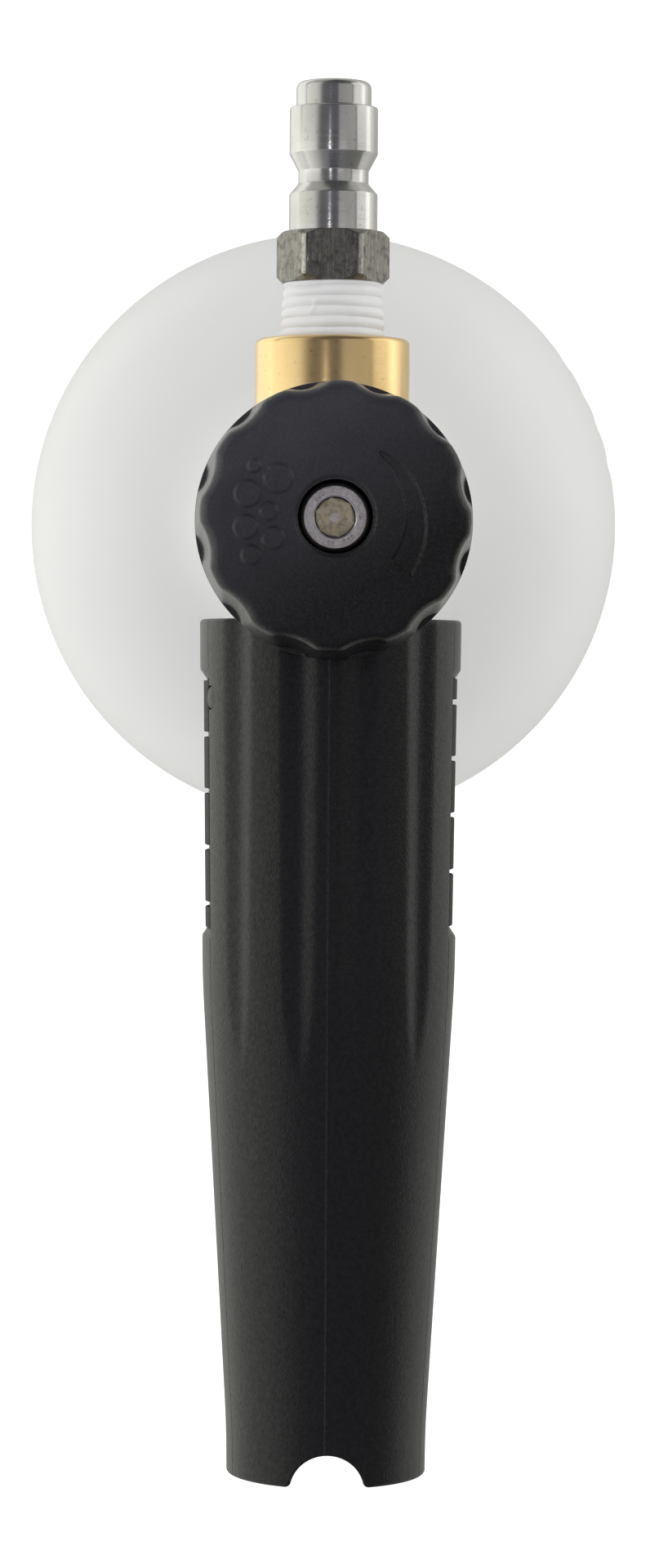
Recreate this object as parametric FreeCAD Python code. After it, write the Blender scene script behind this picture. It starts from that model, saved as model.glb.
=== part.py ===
import FreeCAD, Part
import math
import os

# A snow foam cannon for a pressure washer, standing on its bottle.
# Lengths are in millimetres and angles in degrees.
# The origin is the middle of the bottle's foot, +Z is up and +X is the way the foam leaves.
# The spray axis runs along X. A height or a drop is measured from that axis.

# Fits
thread_fit = 0.05           # radial gap between pieces screwed or pushed together
running_fit = 0.06          # radial gap between pieces that turn or slide
seat_gap = 0.05             # gap between the faces of pieces that come apart
side_gap = 0.15             # gap beside a key, a tongue or a cam
clear_gap = 0.3             # gap between pieces that never meet

# Bottle, measured from the floor
bottle_radius = 45.0
bottle_wall = 1.6
bottle_straight = 150.0     # top of the straight wall
foot_corner = 8.0
foot_ring = 4.0             # width of the flat ring that the bottle stands on
foot_push_up = 2.5
shoulder_bend = 30.0
shoulder_slope = 24.0
neck_blend = 18.0
neck_radius = 13.0
neck_wall = 2.2
neck_length = 20.0
neck_ring_radius = 15.6
neck_ring_height = 2.5
grip_groove_depth = 0.4
grip_groove_radius = 6.0
grip_groove_turns = (12.4, 20.5, 27.0, 34.3)    # from +Y towards -X

# Cap, gasket and nut
cap_radius = 16.3
cap_height = 20.5
cap_plate = 4.0
cap_thread_room = 0.85      # neck to the cap's bore, where the thread is
cap_flutes = 18
cap_flute_radius = 1.2
cap_flute_depth = 0.5
gasket_thickness = 1.4
cap_nut_height = 5.5

# Brass body
body_radius = 10.4
body_rear = 22.0            # bottle axis to the inlet face
body_front = 21.0           # bottle axis to the front face
body_round = 0.8
boss_drop = 20.0            # spray axis to the cap's top
boss_margin = 0.1           # how far the lower boss stands outside the round body
stem_radius = 7.4
stem_length = 11.5
stem_bore = 4.0
suction_bore = 1.4
cross_drop = 8.0
mixing_bore = 3.0

# Quick-connect plug and its tape
inlet_thread_radius = 6.6
inlet_thread_length = 10.0
plug_neck_radius = 6.2      # bare thread under the tape
tape_length = 7.6
tape_thin = 0.3
tape_thick = 0.9
tape_ridges = 6
tape_ridge_height = 0.12
plug_hex_width = 14.0
plug_hex_corner = 7.55
plug_hex_length = 6.8
plug_hex_tilt = 2.0
plug_hex_chamfer = 0.4
plug_land_radius = 5.96
plug_rear_land = 5.1
plug_rear_cone = 1.4
plug_groove_radius = 4.74
plug_groove_width = 1.7
plug_front_cone = 2.3
plug_front_land = 6.3
plug_tip_radius = 5.08
plug_tip_length = 3.5
plug_tip_round = 1.0
plug_bore = 2.6

# Jet and mixing tube
jet_radius = 4.0
jet_length = 6.7
jet_entry = 2.2
jet_hole = 0.6
mixer_length = 13.7
mixer_throat = 2.6
mixer_mouth = 4.4

# Barrel
barrel_radius = 8.0
barrel_thread_radius = 7.0
barrel_bore = 5.5
barrel_step = 0.7           # height of the step that the mesh rests on
barrel_length = 70.0        # body's front face to the barrel's end
socket_depth = 13.0
seal_thickness = 1.2
pin_groove_depth = 1.0
pin_groove_width = 3.2
mesh_start = 22.0           # body's front face to the mesh
mesh_length = 18.0
mesh_ring_width = 1.5
mesh_ring_wall = 1.2
tip_insert = 8.0
tip_flange = 3.0
tip_bore = 4.2

# Dosing valve, on a vertical axis ahead of the bottle's
valve_x = 3.1
valve_boss_radius = 9.5
valve_boss_height = 17.0
seat_hole = 1.1
seat_land = 1.6             # mixing bore to the floor of the guide slot
guide_depth = 3.7
guide_half_width = 3.45
chamber_radius = 5.8
bypass_radius = 1.3
bypass_y = 6.6
gland_thread_radius = 6.95
gland_thread_length = 4.5
gland_hex_width = 16.0
gland_hex_height = 4.5
oring_section = 1.3
oring_height = 14.6
spindle_radius = 4.0
spindle_collar = 2.0
spindle_tail = 0.8
spindle_tail_radius = 3.6
spindle_flats = 7.0
needle_thread_radius = 2.0
needle_thread_top = 12.2
needle_room = 1.8           # bore above the needle, for its rise
needle_key_bottom = 6.0
needle_key_height = 1.7
needle_key_half_length = 4.6
needle_tip_radius = 0.5
needle_tip_lift = 0.4       # mixing bore to the needle's point

# Knob and its screw
knob_radius = 18.0
knob_flange_edge = 0.04     # how far the lower flange stands outside the side
knob_flange_height = 3.5
knob_taper = 0.7
knob_height = 20.0
knob_lift = 0.8             # shroud's top to the knob's underside
knob_top_round = 2.2
knob_plate = 3.4
knob_wall = 4.5
knob_hub_radius = 8.0
knob_hub_drop = 0.3         # gland nut's top to the hub
knob_recess_radius = 4.8
knob_recess_depth = 9.9
knob_recess_chamfer = 0.5
scallops = 12
scallop_radius = 8.0
scallop_depth = 1.1
scallop_turn = 12.5         # first scallop, from +Y towards -X
screw_head_radius = 4.5
screw_head_height = 5.0
screw_socket_width = 4.4
screw_socket_depth = 3.0
screw_radius = 2.45
screw_length = 12.0

# Suction barb, dip tube and strainer
barb_hex_width = 12.0
barb_hex_height = 3.5
barb_thread_length = 10.0
barb_radius = 3.2
barb_tooth = 0.5
barb_teeth = 3
barb_length = 12.5
barb_bore = 1.5
tube_wall = 1.25
strainer_radius = 7.0
strainer_height = 16.0
strainer_wall = 1.2
strainer_socket = 7.0
strainer_slots = 6
strainer_slot_width = 1.6
strainer_lift = 0.8         # bottle's floor to the strainer

# Shroud: an oval housing with three stretches
shroud_overlap = 5.3        # how far it reaches back over the body
shroud_grip_length = 48.3
shroud_mouth_length = 5.9
mouth_room = 5.15           # tips of the lips at full travel to the front rim
shroud_rear_half = (17.6, 18.6)     # half width and half height of the oval
shroud_grip_half = (16.95, 18.2)
shroud_taper_half = (13.4, 14.9)
shroud_front_half = (13.34, 14.8)
shroud_wall = 2.6
shroud_edge_round = 0.5
bulkhead_thickness = 4.0
bulkhead_start = 3.2        # body's front face to the rear bulkhead
flute_radius = 8.0
flute_depth = 0.4
flute_turns = (12.6, 43.4)  # to both sides of the flutes' middle
flute_lean = 2.2            # turn of the flutes' middle from the top towards -Y
notch_radius = 5.05
notch_beyond = 0.7          # front rim to the notch's centre
notch_corner = 0.9
panel_start = 6.7           # shroud's rear edge to the side recess
panel_length = 35.7
panel_depth = 1.0
panel_ramp = 1.5            # length of the slope at each end of the recess
panel_half_height = 6.6
grip_block_height = 0.56
grip_block_half_height = 5.2
grip_block_length = 6.9
grip_block_pitch = 7.58
grip_blocks = 4
grip_short_block = 2.8
pin_radius = 1.5
pin_turn = 66.0             # from the top towards -Y
pin_sink = 0.15             # outer skin to the pin's head

# Lip carrier and lips of the fan nozzle
carrier_length = 20.0
carrier_travel = 2.5
carrier_set_back = 1.0      # nozzle tip's end to the sleeve's front
carrier_room = 6.0          # front bulkhead to the sleeve
key_half_width = 1.5
key_engagement = 1.0
lip_plate = 1.8
lip_half_height = 6.0
lip_pivot_y = 6.9
lip_pin_radius = 1.1
lip_knuckle_radius = 2.1
lip_length = 26.0
lip_tip_inner = 2.6
lip_tip_thickness = 1.3
lip_turn = 4.0              # closing turn of each lip over the carrier's travel
heel_reach = 12.0           # pivot to the heel
heel_y = 6.6
heel_radius = 2.0
heel_half_height = 2.2
cam_length = 15.5


def vec(x, y, z):
    return FreeCAD.Vector(x, y, z)


def shoulder_curve(side, bend, neck, blend):
    """Steps from the top of the straight wall, over the shoulder, to the foot of the neck."""
    slope = math.radians(shoulder_slope)
    turn = math.pi / 2 - slope

    def on_bend(angle):
        return (side - bend + bend * math.cos(angle), bottle_straight + bend * math.sin(angle))

    top = on_bend(turn)
    low_radius = neck + blend - blend * math.sin(slope)
    low_z = top[1] + (top[0] - low_radius) * math.tan(slope)
    neck_z = low_z + blend * math.cos(slope)

    def on_blend(angle):
        return (neck + blend - blend * math.cos(angle), neck_z - blend * math.sin(angle))

    return [
        (side, bottle_straight),
        (on_bend(turn / 2), top),
        (low_radius, low_z),
        (on_blend(turn / 2), (neck, neck_z)),
    ]


# Heights from the floor
neck_bore = neck_radius - neck_wall
neck_foot_z = shoulder_curve(bottle_radius, shoulder_bend, neck_radius, neck_blend)[-1][1][1]
neck_top_z = neck_foot_z + neck_length
cap_bore = neck_radius + cap_thread_room
axis_z = neck_top_z + 2 * seat_gap + gasket_thickness + cap_plate + boss_drop

# Stations along the spray axis
inlet_end_x = -body_rear + inlet_thread_length + 2 * clear_gap
jet_end_x = inlet_end_x + jet_length + clear_gap
socket_floor_x = body_front - socket_depth
barrel_rear_x = socket_floor_x + seal_thickness + 2 * seat_gap
barrel_front_x = body_front + barrel_length
tip_front_x = barrel_front_x + seat_gap + tip_flange
mixer_front_x = barrel_rear_x + mixer_length
shroud_rear_x = body_front - shroud_overlap
grip_end_x = shroud_rear_x + shroud_grip_length
bulkhead_x = body_front + bulkhead_start
pin_x = bulkhead_x + bulkhead_thickness / 2
panel_x = shroud_rear_x + panel_start
carrier_front_x = tip_front_x - carrier_set_back
carrier_rear_x = carrier_front_x - carrier_length
front_bulkhead_x = carrier_rear_x - carrier_room - bulkhead_thickness
lip_pivot_x = tip_front_x + lip_knuckle_radius + clear_gap
heel_x = lip_pivot_x + heel_reach
shroud_front_x = lip_pivot_x + lip_length + carrier_travel + mouth_room
taper_end_x = shroud_front_x - shroud_mouth_length

# Radii and heights of the valve, measured from the spray axis
seat_height = mixing_bore + seat_land
chamber_floor = seat_height + guide_depth
gland_floor = valve_boss_height - gland_thread_length
gland_top = valve_boss_height + gland_hex_height
needle_bore_top = needle_thread_top + needle_room
collar_top = gland_floor - side_gap
collar_bottom = collar_top - spindle_collar
knob_base = shroud_rear_half[1] + knob_lift
knob_top = knob_base + knob_height
knob_hub_base = gland_top + knob_hub_drop
recess_floor = knob_top - knob_recess_depth
nozzle_bore = barrel_radius + running_fit


def closed_wire(steps, place):
    """Closed wire through the steps: a point, or a pair with a point on an arc and its end."""
    edges = []
    here = place(*steps[0])
    for step in steps[1:] + steps[:1]:
        if isinstance(step[0], tuple):
            middle = place(*step[0])
            end = place(*step[1])
            edges.append(Part.Arc(here, middle, end).toShape())
        else:
            end = place(*step)
            edges.append(Part.LineSegment(here, end).toShape())
        here = end
    return Part.Wire(edges)


def turned_x(steps):
    """Solid turned about the spray axis from (station, radius) steps."""
    wire = closed_wire(steps, lambda x, radius: vec(x, 0, axis_z + radius))
    return Part.Face(wire).revolve(vec(0, 0, axis_z), vec(1, 0, 0), 360)


def turned_z(steps, x=0.0, base=None):
    """Solid turned about a vertical axis from (radius, height) steps."""
    floor = axis_z if base is None else base
    wire = closed_wire(steps, lambda radius, height: vec(x + radius, 0, floor + height))
    return Part.Face(wire).revolve(vec(x, 0, 0), vec(0, 0, 1), 360)


def bar(radius, start, end):
    """Round bar on the spray axis."""
    return Part.makeCylinder(radius, end - start, vec(start, 0, axis_z), vec(1, 0, 0))


def post(radius, low, high, x=0.0, y=0.0):
    """Upright round bar between two heights."""
    return Part.makeCylinder(radius, high - low, vec(x, y, axis_z + low))


def block(x_range, y_range, height_range):
    size = [high - low for low, high in (x_range, y_range, height_range)]
    return Part.makeBox(*size, vec(x_range[0], y_range[0], axis_z + height_range[0]))


def plan_prism(steps, low, high):
    """Upright prism over a plan outline, between two heights."""
    wire = closed_wire(steps, lambda x, y: vec(x, y, axis_z + low))
    return Part.Face(wire).extrude(vec(0, 0, high - low))


def hexagon(width, height, place, tilt=0.0):
    """Six-sided prism. place takes a position across the prism and one along it."""
    corner = width / 2 / math.cos(math.pi / 6)
    turns = [math.radians(60 * side + tilt) for side in range(6)]
    points = [place(corner * math.cos(turn), corner * math.sin(turn), 0) for turn in turns]
    along = place(0, 0, height) - place(0, 0, 0)
    return Part.Face(Part.makePolygon(points + points[:1])).extrude(along)


def upright_hexagon(width, low, high, x=0.0):
    return hexagon(width, high - low, lambda a, b, c: vec(x + a, b, axis_z + low + c))


def tube_z(outer, inner, low, high, x=0.0):
    return post(outer, low, high, x).cut(post(inner, low - 1, high + 1, x))


def tube_x(outer, inner, start, end):
    return bar(outer, start, end).cut(bar(inner, start - 1, end + 1))


def round_step(corner, start, end):
    """Arc step that rounds a right-angled corner between two points of a profile."""
    centre = (start[0] + end[0] - corner[0], start[1] + end[1] - corner[1])
    share = math.sqrt(0.5)
    middle = tuple(c + (k - c) * share for c, k in zip(centre, corner))
    return (middle, end)


def bottle_form(side, bend, neck, blend, floor, top_z):
    """Turned form of the bottle, outside or inside, with its foot raised by floor."""
    inner_corner = bottle_radius - foot_corner
    corner_steps = round_step((side, floor), (inner_corner, floor), (side, foot_corner))
    steps = [(0, floor + foot_push_up), (inner_corner - foot_ring, floor), (inner_corner, floor)]
    steps += [corner_steps]
    steps += shoulder_curve(side, bend, neck, blend)
    steps += [(neck, top_z), (0, top_z)]
    return turned_z(steps, base=0.0)


def bottle():
    form = bottle_form(bottle_radius, shoulder_bend, neck_radius, neck_blend, 0, neck_top_z)
    for turn in grip_groove_turns:
        angle = math.radians(turn)
        reach = bottle_radius + grip_groove_radius - grip_groove_depth
        foot = vec(-reach * math.sin(angle), reach * math.cos(angle), -1)
        form = form.cut(Part.makeCylinder(grip_groove_radius, neck_top_z, foot))
    ring_top = -boss_drop - cap_height - clear_gap * 2
    form = form.fuse(post(neck_ring_radius, ring_top - neck_ring_height, ring_top))
    hollow = bottle_form(
        bottle_radius - bottle_wall,
        shoulder_bend - bottle_wall,
        neck_bore,
        neck_blend + bottle_wall,
        bottle_wall,
        neck_top_z + 1,
    )
    return form.cut(hollow)


def cap_gasket():
    top = -boss_drop - cap_plate - seat_gap
    return tube_z(cap_bore - side_gap, neck_bore + side_gap, top - gasket_thickness, top)


def bottle_cap():
    top = -boss_drop
    bottom = top - cap_height
    edge = clear_gap * 2
    rim = (cap_radius - edge, top)
    cap = turned_z([
        (0, top),
        rim,
        round_step((cap_radius, top), rim, (cap_radius, top - edge)),
        (cap_radius, bottom),
        (cap_bore, bottom),
        (cap_bore, top - cap_plate),
        (0, top - cap_plate),
    ])
    cap = cap.cut(post(stem_radius + thread_fit, bottom, top + 1))
    reach = cap_radius + cap_flute_radius - cap_flute_depth
    for flute in range(cap_flutes):
        turn = 2 * math.pi * flute / cap_flutes
        x = reach * math.cos(turn)
        y = reach * math.sin(turn)
        cap = cap.cut(post(cap_flute_radius, bottom - 1, top - cap_flute_radius, x, y))
    return cap


def cap_nut():
    top = -boss_drop - cap_plate
    width = 2 * (neck_bore - clear_gap) * math.cos(math.pi / 6)
    nut = upright_hexagon(width, top - cap_nut_height, top)
    return nut.cut(post(stem_radius + thread_fit, top - cap_nut_height - 1, top + 1))


def suction_barb():
    top = -boss_drop - stem_length
    hex_bottom = top - barb_hex_height
    end = hex_bottom - barb_length
    barb = upright_hexagon(barb_hex_width, hex_bottom, top)
    barb = barb.fuse(post(stem_bore - thread_fit, top, top + barb_thread_length))
    steps = [(0, hex_bottom), (barb_radius - barb_tooth, hex_bottom)]
    pitch = barb_length / (barb_teeth + 1)
    for tooth in range(barb_teeth):
        ledge = hex_bottom - (tooth + 1) * pitch
        steps += [(barb_radius - barb_tooth, ledge), (barb_radius, ledge)]
    steps += [(barb_radius - barb_tooth, end), (0, end)]
    barb = barb.fuse(turned_z(steps))
    return barb.cut(post(barb_bore, end - 1, top + barb_thread_length + 1))


def strainer_bottom():
    return foot_push_up + bottle_wall + strainer_lift - axis_z


def dip_tube():
    top = -boss_drop - stem_length - barb_hex_height - seat_gap
    bottom = strainer_bottom() + strainer_height - strainer_socket + seat_gap
    bore = barb_radius + thread_fit
    return tube_z(bore + tube_wall, bore, bottom, top)


def tube_strainer():
    bottom = strainer_bottom()
    top = bottom + strainer_height
    tube_radius = barb_radius + thread_fit + tube_wall
    strainer = post(strainer_radius, bottom, top)
    socket = post(tube_radius + thread_fit, top - strainer_socket, top + 1)
    chamber_top = top - strainer_socket
    chamber = post(tube_radius - clear_gap, bottom + strainer_wall, chamber_top)
    strainer = strainer.cut(socket).cut(chamber)
    half = strainer_slot_width / 2
    for slot in range(strainer_slots):
        cut = block((0, strainer_radius + 1), (-half, half), (bottom - 1, chamber_top - strainer_wall))
        cut.rotate(vec(0, 0, 0), vec(0, 0, 1), 360 * slot / strainer_slots)
        cut = cut.cut(post(tube_radius - clear_gap - 1, bottom - 2, chamber_top))
        strainer = strainer.cut(cut)
    return strainer


def brass_body():
    near = body_radius - body_round
    rear = (-body_rear, near)
    front = (body_front - body_round, body_radius)
    body = turned_x([
        (-body_rear, 0),
        rear,
        round_step((-body_rear, body_radius), rear, (body_round - body_rear, body_radius)),
        front,
        round_step((body_front, body_radius), front, (body_front, near)),
        (body_front, 0),
    ])
    stem_end = -boss_drop - stem_length
    body = body.fuse(post(body_radius + boss_margin, -boss_drop, 0))
    body = body.fuse(post(stem_radius, stem_end, -boss_drop))
    body = body.fuse(post(valve_boss_radius, 0, valve_boss_height, valve_x))
    for hole in spray_bores() + suction_bores(stem_end) + valve_bores():
        body = body.cut(hole)
    return body


def spray_bores():
    """Inlet thread, jet seat, mixing bore and barrel socket, from the rear."""
    return [
        bar(inlet_thread_radius + thread_fit, -body_rear - 1, inlet_end_x),
        bar(jet_radius + thread_fit, inlet_end_x, jet_end_x),
        bar(mixing_bore, jet_end_x, socket_floor_x),
        bar(barrel_thread_radius + thread_fit, socket_floor_x, body_front + 1),
    ]


def suction_bores(stem_end):
    """Way of the soap from the stem, round the mixing bore, up to the valve chamber."""
    run = math.hypot(valve_x, bypass_y)
    cross = Part.makeCylinder(suction_bore, run, vec(0, 0, axis_z - cross_drop), vec(valve_x, bypass_y, 0))
    return [
        post(stem_bore, stem_end - 1, stem_end + barb_thread_length + 2 * clear_gap),
        post(suction_bore, stem_end, -cross_drop),
        cross,
        post(bypass_radius, -cross_drop, chamber_floor + bypass_radius, valve_x, bypass_y),
    ]


def valve_bores():
    """Seat, guide slot, chamber and gland thread."""
    reach = chamber_radius
    slot_x = (valve_x - reach, valve_x + reach)
    return [
        post(seat_hole, 0, seat_height, valve_x),
        block(slot_x, (-guide_half_width, guide_half_width), (seat_height, chamber_floor)),
        post(chamber_radius, chamber_floor, gland_floor, valve_x),
        post(gland_thread_radius + thread_fit, gland_floor, valve_boss_height + 1, valve_x),
    ]


def inlet_plug():
    """Turned plug, from its thread back to its tip."""
    hex_front = -body_rear - tape_length
    hex_rear = hex_front - plug_hex_length
    land_rear = hex_rear - plug_rear_land
    groove_front = land_rear - plug_rear_cone
    groove_rear = groove_front - plug_groove_width
    land_front = groove_rear - plug_front_cone
    tip_shoulder = land_front - plug_front_land
    tip_end = tip_shoulder - plug_tip_length
    thread_end = -body_rear + inlet_thread_length
    tip_edge = (tip_end + plug_tip_round, plug_tip_radius)
    tip_face = (tip_end, plug_tip_radius - plug_tip_round)
    plug = turned_x([
        (thread_end, 0),
        (thread_end, inlet_thread_radius - 1),
        (thread_end - 1, inlet_thread_radius),
        (-body_rear, inlet_thread_radius),
        (-body_rear, plug_neck_radius),
        (hex_rear, plug_neck_radius),
        (hex_rear, plug_land_radius),
        (land_rear, plug_land_radius),
        (groove_front, plug_groove_radius),
        (groove_rear, plug_groove_radius),
        (land_front, plug_land_radius),
        (tip_shoulder, plug_land_radius),
        (tip_shoulder, plug_tip_radius),
        tip_edge,
        round_step((tip_end, plug_tip_radius), tip_edge, tip_face),
        (tip_end, 0),
    ])
    flats = hexagon(
        plug_hex_width,
        plug_hex_length,
        lambda a, b, c: vec(hex_rear + c, a, axis_z + b),
        plug_hex_tilt,
    )
    turned = turned_x([
        (hex_rear, 0),
        (hex_rear, plug_hex_corner - plug_hex_chamfer),
        (hex_rear + plug_hex_chamfer, plug_hex_corner),
        (hex_front - plug_hex_chamfer, plug_hex_corner),
        (hex_front, plug_hex_corner - plug_hex_chamfer),
        (hex_front, 0),
    ])
    plug = plug.fuse(flats.common(turned))
    return plug.cut(bar(plug_bore, tip_end - 1, thread_end + 1))


def thread_tape():
    """Wound tape that thickens towards the body, with one low ridge for each turn."""
    inner = plug_neck_radius + thread_fit
    pitch = tape_length / tape_ridges
    growth = (tape_thick - tape_thin) / tape_length
    start = -body_rear - tape_length
    steps = [(start, inner), (start, inner + tape_thin)]
    for ridge in range(tape_ridges):
        middle = start + (ridge + 0.5) * pitch
        end = start + (ridge + 1) * pitch
        crest = inner + tape_thin + growth * (middle - start) + tape_ridge_height
        steps += [(middle, crest), (end, inner + tape_thin + growth * (end - start))]
    steps += [(-body_rear, inner)]
    return turned_x(steps)


def jet_nozzle():
    front = inlet_end_x + jet_length
    entry = inlet_end_x + jet_length - jet_entry
    return turned_x([
        (inlet_end_x, plug_bore),
        (inlet_end_x, jet_radius),
        (front, jet_radius),
        (front, jet_hole),
        (entry, jet_hole),
        (entry - plug_bore + jet_hole, plug_bore),
    ])


def mixing_tube():
    """Throat that catches the jet, then a mouth that widens towards the mesh."""
    outer = barrel_bore - 2 * thread_fit
    throat_end = barrel_rear_x + mixer_length / 3
    return turned_x([
        (barrel_rear_x, mixer_throat),
        (barrel_rear_x, outer),
        (mixer_front_x, outer),
        (mixer_front_x, mixer_mouth),
        (throat_end, mixer_throat),
    ])


def barrel_seal():
    start = socket_floor_x + seat_gap
    return tube_x(barrel_thread_radius, mixing_bore + clear_gap, start, start + seal_thickness)


def barrel():
    groove_low = pin_x - pin_groove_width / 2
    groove_high = pin_x + pin_groove_width / 2
    groove = barrel_radius - pin_groove_depth
    edge = clear_gap
    outside = turned_x([
        (barrel_rear_x, 0),
        (barrel_rear_x, barrel_thread_radius),
        (body_front, barrel_thread_radius),
        (body_front, barrel_radius),
        (groove_low, barrel_radius),
        (groove_low, groove),
        (groove_high, groove),
        (groove_high, barrel_radius),
        (barrel_front_x - edge, barrel_radius),
        (barrel_front_x, barrel_radius - edge),
        (barrel_front_x, 0),
    ])
    step_end = body_front + mesh_start
    outside = outside.cut(bar(barrel_bore, barrel_rear_x - 1, mixer_front_x + clear_gap))
    outside = outside.cut(bar(barrel_bore - barrel_step, mixer_front_x, step_end))
    return outside.cut(bar(barrel_bore, step_end, barrel_front_x + 1))


def foam_mesh():
    start = body_front + mesh_start + seat_gap
    return bar(barrel_bore - 2 * thread_fit, start, start + mesh_length)


def mesh_ring():
    start = body_front + mesh_start + mesh_length + 2 * seat_gap
    outer = barrel_bore - thread_fit
    return tube_x(outer, outer - mesh_ring_wall, start, start + mesh_ring_width)


def nozzle_tip():
    flange = barrel_front_x + seat_gap
    insert = barrel_bore - thread_fit
    return turned_x([
        (flange - tip_insert, tip_bore),
        (flange - tip_insert, insert),
        (flange, insert),
        (flange, barrel_radius - running_fit),
        (tip_front_x - clear_gap, barrel_radius - running_fit),
        (tip_front_x, barrel_radius - running_fit - clear_gap),
        (tip_front_x, tip_bore),
    ])


def oring_groove():
    outer = spindle_radius + running_fit + oring_section + thread_fit
    low = oring_height - oring_section / 2 - thread_fit
    return post(outer, low, low + oring_section + 2 * thread_fit, valve_x)


def gland_nut():
    nut = post(gland_thread_radius, gland_floor, valve_boss_height, valve_x)
    nut = nut.fuse(upright_hexagon(gland_hex_width, valve_boss_height, gland_top, valve_x))
    nut = nut.cut(post(spindle_radius + running_fit, gland_floor - 1, gland_top + 1, valve_x))
    return nut.cut(oring_groove())


def spindle_oring():
    radius = oring_section / 2
    middle = spindle_radius + running_fit + radius
    return Part.makeTorus(middle, radius, vec(valve_x, 0, axis_z + oring_height))


def spindle_end(flats, low, high):
    """Round bar with two flats that carries the knob, or its hole when it is a little larger."""
    radius = spindle_radius + (flats - spindle_flats) / 2
    return post(radius, low, high, valve_x).common(
        block((valve_x - 2 * radius, valve_x + 2 * radius), (-flats / 2, flats / 2), (low, high))
    )


def spindle():
    tail_end = collar_bottom - spindle_tail
    shoulder = knob_hub_base - thread_fit
    end = recess_floor - side_gap
    body = post(spindle_tail_radius, tail_end, collar_bottom, valve_x)
    body = body.fuse(post(chamber_radius - clear_gap, collar_bottom, collar_top, valve_x))
    body = body.fuse(post(spindle_radius, collar_top, shoulder, valve_x))
    body = body.fuse(spindle_end(spindle_flats, shoulder, end))
    needle_hole = post(needle_thread_radius + running_fit, tail_end - 1, needle_bore_top, valve_x)
    screw_hole_end = recess_floor - screw_length - 1
    screw_hole = post(screw_radius + thread_fit, screw_hole_end, end + 1, valve_x)
    return body.cut(needle_hole).cut(screw_hole)


def dosing_needle():
    """Needle with a cone that closes the seat, a key for the slot and a thread for the spindle."""
    point = mixing_bore + needle_tip_lift
    seal_radius = seat_hole - running_fit
    slope = (seal_radius - needle_tip_radius) / (seat_height - point)
    cone_top = needle_key_bottom - clear_gap
    cone_radius = needle_tip_radius + slope * (cone_top - point)
    needle = turned_z(
        [
            (0, point),
            (needle_tip_radius, point),
            (cone_radius, cone_top),
            (cone_radius, needle_key_bottom + needle_key_height / 2),
            (needle_thread_radius, needle_key_bottom + needle_key_height / 2),
            (needle_thread_radius, needle_thread_top),
            (0, needle_thread_top),
        ],
        x=valve_x,
    )
    half_width = guide_half_width - running_fit
    key = block(
        (valve_x - needle_key_half_length, valve_x + needle_key_half_length),
        (-half_width, half_width),
        (needle_key_bottom, needle_key_bottom + needle_key_height),
    )
    return needle.fuse(key)


def knob():
    """Scalloped knob: a turned cup with a hub, cut by upright rounds above its lower flange."""
    flange = knob_radius + knob_flange_edge
    flange_top = knob_base + knob_flange_height
    face_radius = knob_radius - knob_taper
    side_end = (face_radius, knob_top - knob_top_round)
    face_end = (face_radius - knob_top_round, knob_top)
    cup_radius = knob_radius - knob_wall
    body = turned_z(
        [
            (0, recess_floor),
            (knob_recess_radius, recess_floor),
            (knob_recess_radius, knob_top - knob_recess_chamfer),
            (knob_recess_radius + knob_recess_chamfer, knob_top),
            face_end,
            round_step((face_radius, knob_top), face_end, side_end),
            (knob_radius, flange_top),
            (flange, flange_top),
            (flange, knob_base),
            (cup_radius, knob_base),
            (cup_radius, knob_top - knob_plate),
            (knob_hub_radius, knob_top - knob_plate),
            (knob_hub_radius, knob_hub_base),
            (0, knob_hub_base),
        ],
        x=valve_x,
    )
    reach = knob_radius - scallop_depth + scallop_radius
    for scallop in range(scallops):
        turn = math.radians(scallop_turn) + 2 * math.pi * scallop / scallops
        x = valve_x - reach * math.sin(turn)
        y = reach * math.cos(turn)
        body = body.cut(post(scallop_radius, flange_top, knob_top + 1, x, y))
    return body.cut(spindle_end(spindle_flats + 2 * thread_fit, knob_hub_base - 1, recess_floor + 1))


def knob_screw():
    head_top = recess_floor + screw_head_height
    edge = clear_gap
    screw = turned_z(
        [
            (0, recess_floor - screw_length),
            (screw_radius, recess_floor - screw_length),
            (screw_radius, recess_floor),
            (screw_head_radius, recess_floor),
            (screw_head_radius, head_top - edge),
            (screw_head_radius - edge, head_top),
            (0, head_top),
        ],
        x=valve_x,
    )
    socket = upright_hexagon(screw_socket_width, head_top - screw_socket_depth, head_top + 1, valve_x)
    return screw.cut(socket)


def shroud_half(x):
    """Half width and half height of the shroud's outside at a station."""
    stations = [
        (shroud_rear_x, shroud_rear_half),
        (grip_end_x, shroud_grip_half),
        (taper_end_x, shroud_taper_half),
        (shroud_front_x, shroud_front_half),
    ]
    if x <= shroud_rear_x:
        return shroud_rear_half
    for (start, low), (end, high) in zip(stations, stations[1:]):
        if x <= end:
            share = (x - start) / (end - start)
            return tuple(a + (b - a) * share for a, b in zip(low, high))
    return shroud_front_half


def oval(x, inset):
    """Oval section of the shroud, drawn inwards by inset."""
    half_width, half_height = shroud_half(x)
    circle = Part.Circle(vec(0, 0, 0), vec(1, 0, 0), 1).toShape()
    stretch = FreeCAD.Matrix()
    stretch.A22 = half_width - inset
    stretch.A33 = half_height - inset
    stretch.A14 = x
    stretch.A34 = axis_z
    return Part.Wire(circle.transformGeometry(stretch))


def oval_form(inset, start, end):
    """Straight-sided form through the shroud's ovals between two stations."""
    joints = [x for x in (grip_end_x, taper_end_x) if start < x < end]
    return Part.makeLoft([oval(x, inset) for x in [start, *joints, end]], True, True)


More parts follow.
